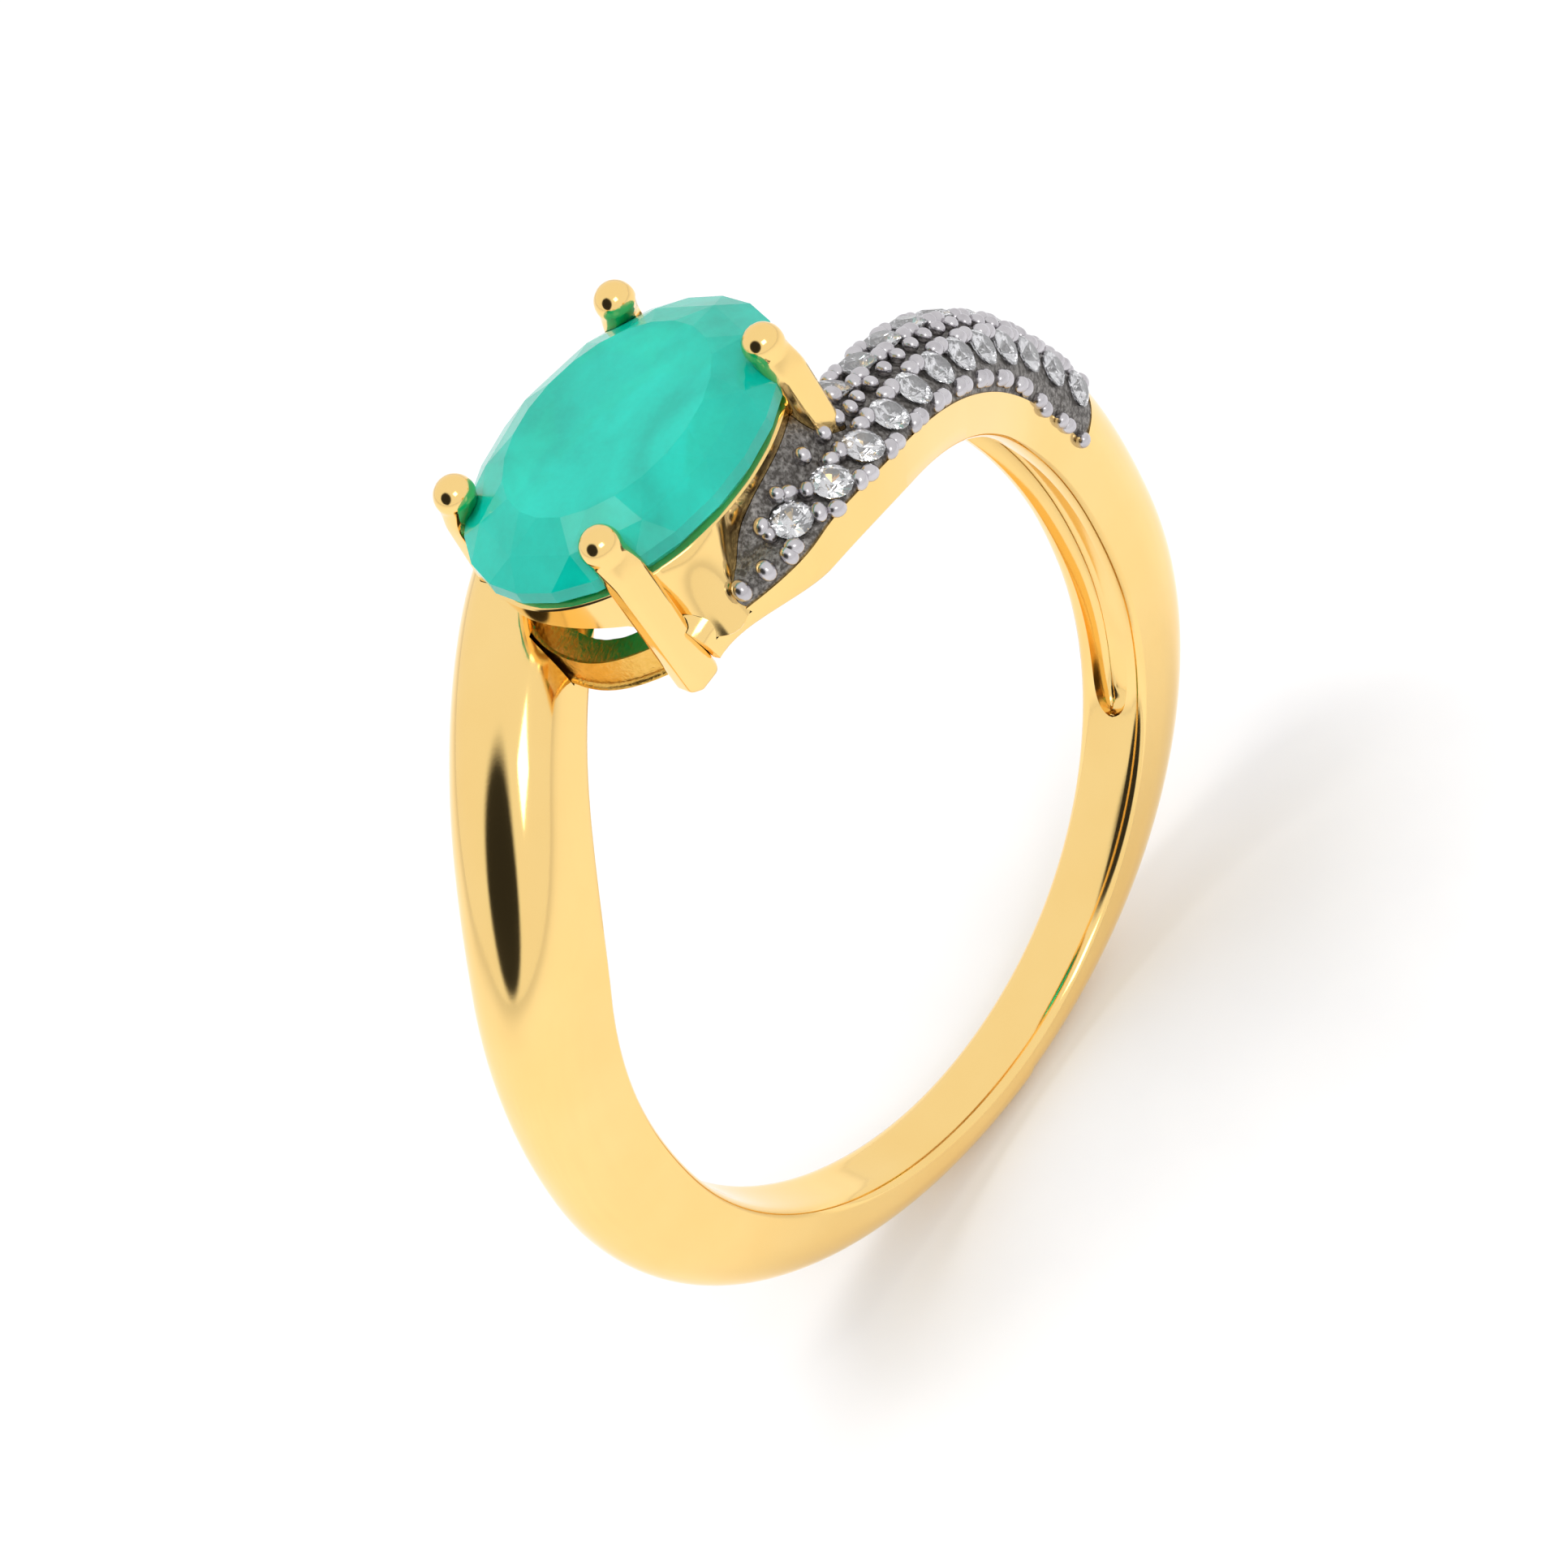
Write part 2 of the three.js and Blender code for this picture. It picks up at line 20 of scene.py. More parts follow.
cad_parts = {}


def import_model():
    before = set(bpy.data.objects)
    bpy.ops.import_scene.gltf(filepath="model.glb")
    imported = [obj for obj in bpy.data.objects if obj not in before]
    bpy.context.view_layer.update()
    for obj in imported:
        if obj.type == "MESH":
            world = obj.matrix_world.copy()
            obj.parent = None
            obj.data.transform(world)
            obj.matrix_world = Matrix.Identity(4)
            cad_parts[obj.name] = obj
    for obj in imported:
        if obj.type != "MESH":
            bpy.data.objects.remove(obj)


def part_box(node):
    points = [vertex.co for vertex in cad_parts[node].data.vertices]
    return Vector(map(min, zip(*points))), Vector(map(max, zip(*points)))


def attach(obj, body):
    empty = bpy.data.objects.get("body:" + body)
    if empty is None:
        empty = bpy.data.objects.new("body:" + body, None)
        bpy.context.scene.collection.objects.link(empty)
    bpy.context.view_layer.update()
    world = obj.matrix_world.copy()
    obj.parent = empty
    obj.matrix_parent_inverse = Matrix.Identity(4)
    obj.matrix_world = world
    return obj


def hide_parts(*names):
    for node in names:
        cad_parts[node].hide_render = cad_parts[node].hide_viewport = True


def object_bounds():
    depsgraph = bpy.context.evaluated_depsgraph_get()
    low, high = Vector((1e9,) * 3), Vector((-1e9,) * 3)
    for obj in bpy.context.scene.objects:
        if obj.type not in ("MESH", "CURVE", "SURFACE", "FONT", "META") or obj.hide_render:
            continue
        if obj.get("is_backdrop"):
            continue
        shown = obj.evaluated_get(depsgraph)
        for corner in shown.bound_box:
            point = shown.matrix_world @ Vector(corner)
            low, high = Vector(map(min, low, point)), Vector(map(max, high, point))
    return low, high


LOG = logging.getLogger("ring")
MILLIMETRE = 0.001
GIRDLE = 13.4  # height of the centre stone's widest part, in millimetres
Span = tuple[float, float]


# ---------------------------------------------------------------- small sums


def mix(low: float, high: float, share: float) -> float:
    """Value a share of the way from low to high."""
    return low + (high - low) * share


def smooth(start: float, end: float, value: float) -> float:
    """Smooth step from 0 at start to 1 at end."""
    share = min(1.0, max(0.0, (value - start) / (end - start)))
    return share * share * (3 - 2 * share)


def polar(angle: float, radius: float, along: float) -> Vector:
    """Point at an angle in degrees from +X towards +Z, at a radius from the bore axis, and along it."""
    turn = math.radians(angle)
    return Vector((radius * math.cos(turn), along, radius * math.sin(turn)))


def power(value: float, exponent: float) -> float:
    """Power of a signed number that keeps its sign."""
    return math.copysign(abs(value) ** exponent, value)


# ---------------------------------------------------------------- mesh tools


class Join(Enum):
    """How one closed solid acts on another."""

    CUT = "DIFFERENCE"
    ADD = "UNION"


def wrap(across: int, along: int, place: Callable[[int, int], Vector]) -> BMesh:
    """Bends a flat grid into a closed skin.

    Args:
        across: Number of grid steps round each outline, which closes on itself.
        along: Number of grid steps from the first outline to the last.
        place: Gives the position of the grid point at (step round, step along).

    Returns:
        A closed bmesh with its normals outwards.
    """
    bm = bmesh.new()
    bmesh.ops.create_grid(bm, x_segments=across, y_segments=along, size=1.0)
    for vert in bm.verts:
        i = round((vert.co.x + 1) / 2 * across)
        j = round((vert.co.y + 1) / 2 * along)
        vert.co = place(i % across, j)
    bmesh.ops.remove_doubles(bm, verts=bm.verts, dist=1e-5)
    bmesh.ops.dissolve_degenerate(bm, dist=1e-6, edges=bm.edges)
    rims = [edge for edge in bm.edges if edge.is_boundary]
    if rims:
        bmesh.ops.holes_fill(bm, edges=rims, sides=0)
    bmesh.ops.recalc_face_normals(bm, faces=bm.faces)
    if bm.calc_volume(signed=True) < 0:
        bmesh.ops.reverse_faces(bm, faces=bm.faces)
    return bm


def hull(points: Iterable[Vector]) -> BMesh:
    """Cut stone with flat facets through the given corner points."""
    bm = bmesh.new()
    for point in points:
        bmesh.ops.create_vert(bm, co=point)
    made = bmesh.ops.convex_hull(bm, input=bm.verts)
    inner = [item for item in made["geom_interior"] if isinstance(item, BMVert)]
    bmesh.ops.delete(bm, geom=inner, context="VERTS")
    bmesh.ops.dissolve_limit(
        bm, angle_limit=math.radians(0.6), verts=bm.verts, edges=bm.edges, use_dissolve_boundaries=False)
    bmesh.ops.recalc_face_normals(bm, faces=bm.faces)
    return bm


def merge(parts: Sequence[BMesh]) -> BMesh:
    """Collects separate bmeshes in one, and frees them."""
    whole = bmesh.new()
    for part in parts:
        held = bpy.data.meshes.new("held")
        part.to_mesh(held)
        part.free()
        whole.from_mesh(held)
        bpy.data.meshes.remove(held)
    return whole


def put(name: str, data: ID) -> Object:
    """New object in the scene, with this mesh, light or camera."""
    thing = bpy.data.objects.new(name, data)
    bpy.context.scene.collection.objects.link(thing)
    return thing


def combine(body: BMesh, tool: BMesh, how: Join) -> BMesh:
    """Cuts a tool from a body or adds it, and frees both.

    Args:
        body: Closed solid that is kept.
        tool: Closed solid, or several that are apart.
        how: Whether the tool is cut away or added.

    Returns:
        The new closed solid.
    """
    holders = []
    for label, source in (("body", body), ("tool", tool)):
        mesh = bpy.data.meshes.new(label)
        source.to_mesh(mesh)
        source.free()
        holders.append(put(label, mesh))
    work, cutter = holders
    step = work.modifiers.new("join", "BOOLEAN")
    step.operation = how.value
    step.solver = "MANIFOLD"
    step.object = cutter
    depsgraph = bpy.context.evaluated_depsgraph_get()
    result = bmesh.new()
    result.from_object(work, depsgraph)
    for holder in holders:
        mesh = holder.data
        bpy.data.objects.remove(holder)
        bpy.data.meshes.remove(mesh)
    bmesh.ops.remove_doubles(result, verts=result.verts, dist=1e-4)
    return result


def main_body(bm: BMesh) -> BMesh:
    """Dissolves the thinnest faces that a cut leaves, and drops every body but the largest.

    A few edges that four faces share can remain where several cuts meet.

    Args:
        bm: Solid that has been cut.

    Returns:
        The same bmesh.
    """
    bmesh.ops.dissolve_degenerate(bm, dist=4e-4, edges=bm.edges)
    bodies: list[list[BMVert]] = []
    seen: set[BMVert] = set()
    for start in bm.verts:
        if start in seen:
            continue
        seen.add(start)
        body = [start]
        for vert in body:
            for edge in vert.link_edges:
                other = edge.other_vert(vert)
                if other not in seen:
                    seen.add(other)
                    body.append(other)
        bodies.append(body)
    bodies.sort(key=len)
    for body in bodies[:-1]:
        bmesh.ops.delete(bm, geom=body, context="VERTS")
    return bm


def finish_piece(name: str, bm: BMesh, material: Material,
                 crease: float, stands_for: Sequence[str]) -> Object:
    """Turns a bmesh in millimetres into a piece of the ring in metres.

    Args:
        name: Name of the piece.
        bm: Its closed mesh, which is freed.
        material: Its finish.
        crease: Edges that turn more than this many degrees stay sharp.
        stands_for: CAD nodes that it replaces.

    Returns:
        The new object, riding on the ring.
    """
    bmesh.ops.scale(bm, vec=(MILLIMETRE,) * 3, verts=bm.verts)
    mesh = bpy.data.meshes.new(name)
    bm.to_mesh(mesh)
    bm.free()
    mesh.shade_smooth()
    mesh.set_sharp_from_angle(angle=math.radians(crease))
    mesh.materials.append(material)
    piece = put(name, mesh)
    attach(piece, "root")
    if stands_for:
        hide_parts(*stands_for)
    LOG.info("%s: %d faces", name, len(mesh.polygons))
    return piece


# ---------------------------------------------------------------- finishes


def linear(colour: str) -> tuple[float, float, float, float]:
    """Linear colour from an sRGB hex value."""
    parts = (int(colour[k:k + 2], 16) / 255 for k in (1, 3, 5))
    return (*(c / 12.92 if c <= 0.04045 else ((c + 0.055) / 1.055) ** 2.4 for c in parts), 1.0)


def add_node(tree: NodeTree, kind: str, settings: dict[str, object],
             inputs: dict[str | int, object]) -> Node:
    """Adds a node with its settings, values and links.

    Args:
        tree: Node tree to add to.
        kind: Node type.
        settings: Values of the node's own properties.
        inputs: Value or output socket for each input, by name or number.

    Returns:
        The new node.
    """
    node = tree.nodes.new(kind)
    for key, value in settings.items():
        setattr(node, key, value)
    for key, value in inputs.items():
        if isinstance(value, NodeSocket):
            tree.links.new(value, node.inputs[key])
        else:
            node.inputs[key].default_value = value
    return node


def blank(name: str, slot: str) -> tuple[Material, NodeTree, NodeSocket]:
    """New empty material, its node tree, and Object coordinates in millimetres."""
    material = bpy.data.materials.new(name)
    material["slot"] = slot
    material.use_nodes = True
    tree = material.node_tree
    tree.nodes.clear()
    place = add_node(tree, "ShaderNodeTexCoord", {}, {})
    scaled = add_node(tree, "ShaderNodeMapping", {}, {
        "Vector": place.outputs["Object"], "Scale": (1 / MILLIMETRE,) * 3})
    return material, tree, scaled.outputs["Vector"]


def texture(tree: NodeTree, place: NodeSocket, size: float, detail: float, roughness: float = 0.5,
            distortion: float = 0.0) -> NodeSocket:
    """Noise in blotches about size millimetres across."""
    return add_node(tree, "ShaderNodeTexNoise", {}, {
        "Vector": place, "Scale": 1 / size, "Detail": detail, "Roughness": roughness,
        "Distortion": distortion}).outputs[0]


def stretch(tree: NodeTree, value: NodeSocket, limits: Span, results: Span = (0.0, 1.0),
            kind: str = "LINEAR") -> NodeSocket:
    """Value that goes from the first result to the second between two limits."""
    return add_node(tree, "ShaderNodeMapRange", {"interpolation_type": kind}, {
        0: value, 1: limits[0], 2: limits[1], 3: results[0], 4: results[1]}).outputs[0]


def blend(tree: NodeTree, share: NodeSocket, first: str, second: str) -> NodeSocket:
    """Colour between two sRGB hex values."""
    return add_node(tree, "ShaderNodeMix", {"data_type": "RGBA"}, {
        0: share, 6: linear(first), 7: linear(second)}).outputs[2]


def relief(tree: NodeTree, height: NodeSocket, strength: float, size: float) -> NodeSocket:
    """Normal of a surface roughened to a depth of size millimetres."""
    return add_node(tree, "ShaderNodeBump", {}, {
        "Strength": strength, "Distance": size * MILLIMETRE, "Height": height}).outputs[0]


def surface(tree: NodeTree, inputs: dict[str, object]) -> None:
    """Gives the material its surface."""
    shader = add_node(tree, "ShaderNodeBsdfPrincipled", {}, inputs)
    add_node(tree, "ShaderNodeOutputMaterial", {}, {"Surface": shader.outputs[0]})


@dataclass(frozen=True)
class PolishedGold:
    """Silver casting, buffed and plated in yellow gold: warm reflections, faintly soft from the buffing."""

    name: str = "polished_yellow_gold_plate"
    slot: str = "gold_plate"
    bright: str = "#FCDA92"
    deep: str = "#F8D082"
    roughness: float = 0.1
    cloud_mm: float = 2.4
    grain_mm: float = 0.09
    grain_height_mm: float = 0.0006

    def build(self) -> Material:
        """Makes the material."""
        material, tree, place = blank(self.name, self.slot)
        cloud = texture(tree, place, self.cloud_mm, 3.0)
        gloss = stretch(tree, cloud, (0.3, 0.7), (self.roughness * 0.75, self.roughness * 1.3))
        # the buffing grain is finer than this on the real surface, and is drawn just wide enough to show
        grain = texture(tree, place, self.grain_mm, 2.0, 0.6)
        surface(tree, {
            "Base Color": blend(tree, cloud, self.bright, self.deep), "Metallic": 1.0, "Roughness": gloss,
            "Normal": relief(tree, grain, 0.5, self.grain_height_mm)})
        return material


@dataclass(frozen=True)
class CastGoldPaintedShade:
    """Gold plate over a rough casting inside the gallery, out of the buffing wheel's reach: its grit relief
    glitters. Its deeper orange colour is painted shade and painted reflection of the gold round it inside the
    gallery, mixed at random with a paler gold by the grit.
    """

    name: str = "cast_gold_painted_shade"
    slot: str = "gold_plate"
    # both tones are deeper than the polished plate: painted shade and painted reflection inside the gallery,
    # not the gold's own colour
    bright: str = "#F7CB72"
    deep: str = "#D9A23C"
    roughness: float = 0.24
    grit_mm: float = 0.12
    grit_height_mm: float = 0.03

    def build(self) -> Material:
        """Makes the material."""
        material, tree, place = blank(self.name, self.slot)
        grit = texture(tree, place, self.grit_mm, 4.0, 0.6)
        surface(tree, {
            # the grit mixes the two painted-shade tones at random; the relief and roughness are the casting's
            # own
            "Base Color": blend(tree, grit, self.deep, self.bright), "Metallic": 1.0,
            "Roughness": self.roughness, "Normal": relief(tree, grit, 0.7, self.grit_height_mm)})
        return material


@dataclass(frozen=True)
class BrightRhodium:
    """White rhodium plate on raised grains burnished by the setter's tool: pale grey with a cool sheen."""

    name: str = "burnished_rhodium_plate"
    slot: str = "rhodium_plate"
    bright: str = "#DCD9DC"
    deep: str = "#AFABAF"
    roughness: float = 0.24
    cloud_mm: float = 0.35

    def build(self) -> Material:
        """Makes the material."""
        material, tree, place = blank(self.name, self.slot)
        cloud = texture(tree, place, self.cloud_mm, 2.0)
        surface(tree, {
            "Base Color": blend(tree, cloud, self.bright, self.deep), "Metallic": 1.0,
            "Roughness": self.roughness})
        return material


@dataclass(frozen=True)
class DarkRhodium:
    """Unpolished rhodium plate between the grains, darkened by oxide: rough grey-brown with pale specks."""

    name: str = "oxidised_rhodium_recess"
    slot: str = "rhodium_plate"
    dark: str = "#54504C"
    pale: str = "#A8A4A0"
    roughness: float = 0.42
    grit_mm: float = 0.11
    grit_height_mm: float = 0.035

    def build(self) -> Material:
        """Makes the material."""
        material, tree, place = blank(self.name, self.slot)
        grit = texture(tree, place, self.grit_mm, 4.0, 0.65)
        specks = stretch(tree, grit, (0.42, 0.72))
        surface(tree, {
            "Base Color": blend(tree, specks, self.dark, self.pale), "Metallic": 0.85,
            "Roughness": self.roughness, "Normal": relief(tree, grit, 0.8, self.grit_height_mm)})
        return material


@dataclass(frozen=True)
class TealStone:
    """Cloudy blue-green synthetic stone, cut and polished: light sinks in a little under a glassy surface."""

    name: str = "cloudy_teal_stone"
    slot: str = "teal_stone"
    light: str = "#04E2CC"
    deep: str = "#00BEAA"
    roughness: float = 0.14
    transmission: float = 0.35
    index: float = 1.5
    cloud_mm: float = 2.6
    silk_mm: float = 0.12
    silk_share: float = 0.12

    def build(self) -> Material:
        """Makes the material."""
        material, tree, place = blank(self.name, self.slot)
        cloud = texture(tree, place, self.cloud_mm, 3.0, 0.55, 0.6)
        silk = texture(tree, place, self.silk_mm, 2.0)
        both = add_node(tree, "ShaderNodeMix", {"data_type": "FLOAT"}, {
            0: self.silk_share, 2: cloud, 3: silk})
        depth = stretch(tree, both.outputs[0], (0.35, 0.65))
        surface(tree, {
            "Base Color": blend(tree, depth, self.light, self.deep), "Roughness": self.roughness,
            "IOR": self.index, "Transmission Weight": self.transmission})
        return material


@dataclass(frozen=True)
class ClearStone:
    """Colourless cubic zirconia, faceted: clear, with strong glints and dark facets from its high index."""

    name: str = "cubic_zirconia"
    slot: str = "clear_stone"
    tint: str = "#FBFBFC"
    haze: str = "#F0F0F4"
    roughness: float = 0.01
    transmission: float = 0.9
    index: float = 2.16
    haze_mm: float = 0.5

    def build(self) -> Material:
        """Makes the material."""
        material, tree, place = blank(self.name, self.slot)
        cloud = texture(tree, place, self.haze_mm, 2.0)
        surface(tree, {
            "Base Color": blend(tree, cloud, self.tint, self.haze), "Roughness": self.roughness,
            "IOR": self.index, "Transmission Weight": self.transmission})
        return material


@dataclass(frozen=True)
class PaperSweep:
    """Matt white paper under the ring, with the faint unevenness of its fibres."""

    name: str = "white_paper_sweep"
    slot: str = "stage"
    white: str = "#FBFBFC"
    shade: str = "#F4F4F6"
    fibre_mm: float = 3.0

    def build(self) -> Material:
        """Makes the material."""
        material, tree, place = blank(self.name, self.slot)
        fibre = texture(tree, place, self.fibre_mm, 2.0)
        surface(tree, {
            "Base Color": blend(tree, fibre, self.white, self.shade), "Roughness": 0.9,
            "Specular IOR Level": 0.0})
        return material


# ---------------------------------------------------------------- the shape of the ring


class Side(Enum):
    """The two arms of the ring: the value is the way each one sweeps along Y."""

    PLAIN = 1
    STONE_SET = -1


@dataclass(frozen=True)
class Head:
    """Places in the head, in millimetres, taken from the CAD frame."""

    half_length: float
    half_width: float
    gem_low: float
    gem_high: float
    claw_x: float
    collar_top: float
    collar_bottom: float
    rail_top: float
    rail_bottom: float
    rail_half_length: float
    rail_half_width: float

    @staticmethod
    def measure() -> "Head":
        """Reads the boxes of the CAD nodes."""
        gem_lo, gem_hi = (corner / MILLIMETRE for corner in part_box("centre_stone"))
        claw_lo, claw_hi = (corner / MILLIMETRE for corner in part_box("prong_front_right"))
        collar_lo, collar_hi = (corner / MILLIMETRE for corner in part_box("head_collar"))
        rail_lo, rail_hi = (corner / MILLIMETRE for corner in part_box("gallery_rail"))
        return Head(
            half_length=gem_hi.x, half_width=gem_hi.y, gem_low=gem_lo.z, gem_high=gem_hi.z,
            claw_x=(claw_lo.x + claw_hi.x) / 2, collar_top=collar_hi.z, collar_bottom=collar_lo.z,
            rail_top=rail_hi.z, rail_bottom=rail_lo.z,
            rail_half_length=rail_hi.x, rail_half_width=rail_hi.y)


@dataclass(frozen=True)
class ArmForm:
    """Lines and sections of the two arms, from the back of the band at -90 degrees to their tips."""

    bore_radius: float = 8.65
    band_width: float = 1.72
    band_thickness: float = 1.15
    side_width: float = 2.08
    side_thickness: float = 2.48
    arm_width: float = 2.95
    tip_share: float = 0.64
    sweep: float = 3.0
    sweep_span: Span = (30, 97)
    tip_return: float = 0.3
    return_from: float = 88.0
    band_span: Span = (-80, 0)
    shoulder_span: Span = (5, 55)
    lift: float = 2.2
    lift_span: Span = (-5, 107)
    plain_spans: tuple[Span, Span] = ((-85, 5), (0, 78))
    stone_spans: tuple[Span, Span] = ((-95, -8), (0, 58))
    plain_crown: float = 3.6
    stone_crown: float = 3.4
    plain_lag: float = 4.0
    ease_width: float = 0.34
    ease_height: float = 0.15
    wall_share: float = 0.3
    rim_height: float = 1.05
    tip_rim_height: float = 0.6
    rim_span: Span = (84, 98)
    bank_height: float = 0.9
    bank_rise: Span = (70, 79)
    bank_fall: Span = (85, 97)
    bank_reach: Span = (-0.2, 0.45)
    inlay_start: float = 21.0
    inlay_end: float = 98.0
    head_deg: float = 75.7
    tip_deg: float = 102.2

    def centre(self, t: float, side: Side) -> float:
        """How far the arm's centre line has swept along Y at t degrees."""
        late = t - (self.plain_lag if side is Side.PLAIN else 0.0)
        back = self.tip_return * smooth(self.return_from, self.tip_deg, t)
        return self.sweep * (smooth(*self.sweep_span, late) - back)

    def half(self, t: float) -> float:
        """Half the arm's width."""
        ring = mix(self.band_width, self.side_width, smooth(*self.band_span, t))
        shoulder = mix(ring, self.arm_width, smooth(*self.shoulder_span, t))
        tip = self.arm_width * self.tip_share
        return mix(shoulder, tip, smooth(self.head_deg - 4, self.tip_deg, t)) / 2

    def inner(self, t: float) -> float:
        """Radius of the face against the finger, which lifts away below the head."""
        return self.bore_radius + self.lift * smooth(*self.lift_span, t)

    def outer(self, t: float, side: Side) -> float:
        """Radius of the crown of the dome."""
        plain = side is Side.PLAIN
        crown = self.plain_crown if plain else self.stone_crown
        band, shoulder = self.plain_spans if plain else self.stone_spans
        ring = mix(self.band_thickness, self.side_thickness, smooth(*band, t))
        return self.bore_radius + mix(ring, crown, smooth(*shoulder, t))

    def rim(self, t: float) -> float:
        """Height of the side wall below the inlay."""
        return mix(self.rim_height, self.tip_rim_height, smooth(*self.rim_span, t))

    def wall(self, t: float, side: Side) -> float:
        """Height of the straight side wall under the dome."""
        low = self.wall_share * (self.outer(t, side) - self.inner(t))
        return mix(low, self.rim(t), 0.0 if side is Side.PLAIN else smooth(0, self.inlay_start, t))

    def bank(self, t: float, share: float) -> float:
        """How far the inlay climbs the collar, from a share of -1 beside it to none beyond the middle."""
        lengthways = smooth(*self.bank_rise, t) * (1 - smooth(*self.bank_fall, t))
        return self.bank_height * lengthways * (1 - smooth(*self.bank_reach, share))

    @staticmethod
    def fullness(side: Side) -> float:
        """Exponent of the dome: below 1 it is fuller than an ellipse."""
        return 0.85 if side is Side.PLAIN else 1.0

    @staticmethod
    def world(t: float, side: Side, radius: float, offset: float) -> Vector:
        """Point of an arm's section at t degrees, from its radius and its place along Y."""
        if side is Side.PLAIN:
            return polar(180 - t, radius, offset)
        return polar(t, radius, -offset)

    def on_dome(self, t: float, side: Side, across: float, height: float) -> Vector:
        """Point on the dome.

        Args:
            t: Angle up the arm in degrees.
            side: Which arm.
            across: Distance from the centre line, positive outwards on the stone-set arm.
            height: Distance above the dome.

        Returns:
            The point in millimetres.
        """
        base = self.inner(t) + self.wall(t, side)
        share = min(1.0, abs(across) / self.half(t)) ** (1 / self.fullness(side))
        rise = math.sqrt(max(0.0, 1 - share * share)) ** self.fullness(side)
        radius = base + (self.outer(t, side) - base) * rise + height
        if side is Side.STONE_SET:
            radius += self.bank(t, across / self.half(t))
        return self.world(t, side, radius, self.centre(t, side) - side.value * across)

    def seat(self, t: float, share: float, offset: float, height: float) -> Matrix:
        """Frame on the stone-set dome: X across the arm, Y along it, Z straight out."""
        row = share * self.half(t) + offset
        at = self.on_dome(t, Side.STONE_SET, row, height)
        along = (self.on_dome(t + 0.5, Side.STONE_SET, row, height) - at).normalized()
        beside = (self.on_dome(t, Side.STONE_SET, row + 0.05, height) - at).normalized()
        out = beside.cross(along).normalized()
        if out.dot(at) < 0:
            out.negate()
        right = along.cross(out)
        frame = Matrix.Identity(4)
        for column, axis in enumerate((right, along, out, at)):
            for row_index in range(3):
                frame[row_index][column] = axis[row_index]
        return frame

    def walk(self, share: Callable[[float], float], start: float, end: float, count: int) -> list[float]:
        """Angles of a row spaced evenly up the stone-set arm.

        Args:
            share: Place of the row across the arm at each angle, as a share of the half width.
            start: Angle of the first stone.
            end: Angle of the last stone.
            count: Number of stones.

        Returns:
            The angles in degrees.
        """
        steps = 400
        turns = [mix(start, end, k / steps) for k in range(steps + 1)]
        path = [self.on_dome(t, Side.STONE_SET, share(t) * self.half(t), 0.0) for t in turns]
        lengths = [0.0]
        for here, there in zip(path, path[1:]):
            lengths.append(lengths[-1] + (there - here).length)
        pitch = lengths[-1] / (count - 1)
        return [next(t for t, run in zip(turns, lengths) if run >= k * pitch - 1e-6) for k in range(count)]


@dataclass
class Section:
    """Outline of an arm: flat against the finger, eased edges, side walls, and a dome."""

    form: ArmForm
    flat_steps: int = 6
    ease_steps: int = 4
    wall_steps: int = 3
    dome_steps: int = 40

    def count(self) -> int:
        """Number of points in the outline."""
        return self.flat_steps + 2 * self.ease_steps + 2 * self.wall_steps + self.dome_steps

    def points(self, t: float, side: Side, domed: bool) -> list[tuple[float, float]]:
        """Radius and place along Y of each point of the outline, from the left end of the flat."""
        form = self.form
        half, inner, centre = form.half(t), form.inner(t), form.centre(t, side)
        spring = inner + form.wall(t, side)
        rise = form.outer(t, side) - spring if domed else 0.0
        flat = half - form.ease_width
        row = [(inner, mix(-flat, flat, k / self.flat_steps)) for k in range(self.flat_steps)]
        for k in range(self.ease_steps):
            turn = math.pi / 2 * k / self.ease_steps
            row.append((inner + form.ease_height * (1 - math.cos(turn) ** 1.25),
                        flat + form.ease_width * math.sin(turn) ** 1.25))
        wall = [mix(inner + form.ease_height, spring, k / self.wall_steps)
                for k in range(self.wall_steps + 1)]
        row += [(radius, half) for radius in wall[:-1]]
        full = form.fullness(side)
        for k in range(self.dome_steps):
            turn = math.pi * k / self.dome_steps
            row.append((spring + rise * math.sin(turn) ** full, half * power(math.cos(turn), full)))
        row += [(radius, -half) for radius in wall[:0:-1]]
        for k in range(self.ease_steps):
            turn = math.pi / 2 * (1 - k / self.ease_steps)
            row.append((inner + form.ease_height * (1 - math.cos(turn) ** 1.25),
                        -flat - form.ease_width * math.sin(turn) ** 1.25))
        return [(radius, centre + across) for radius, across in row]


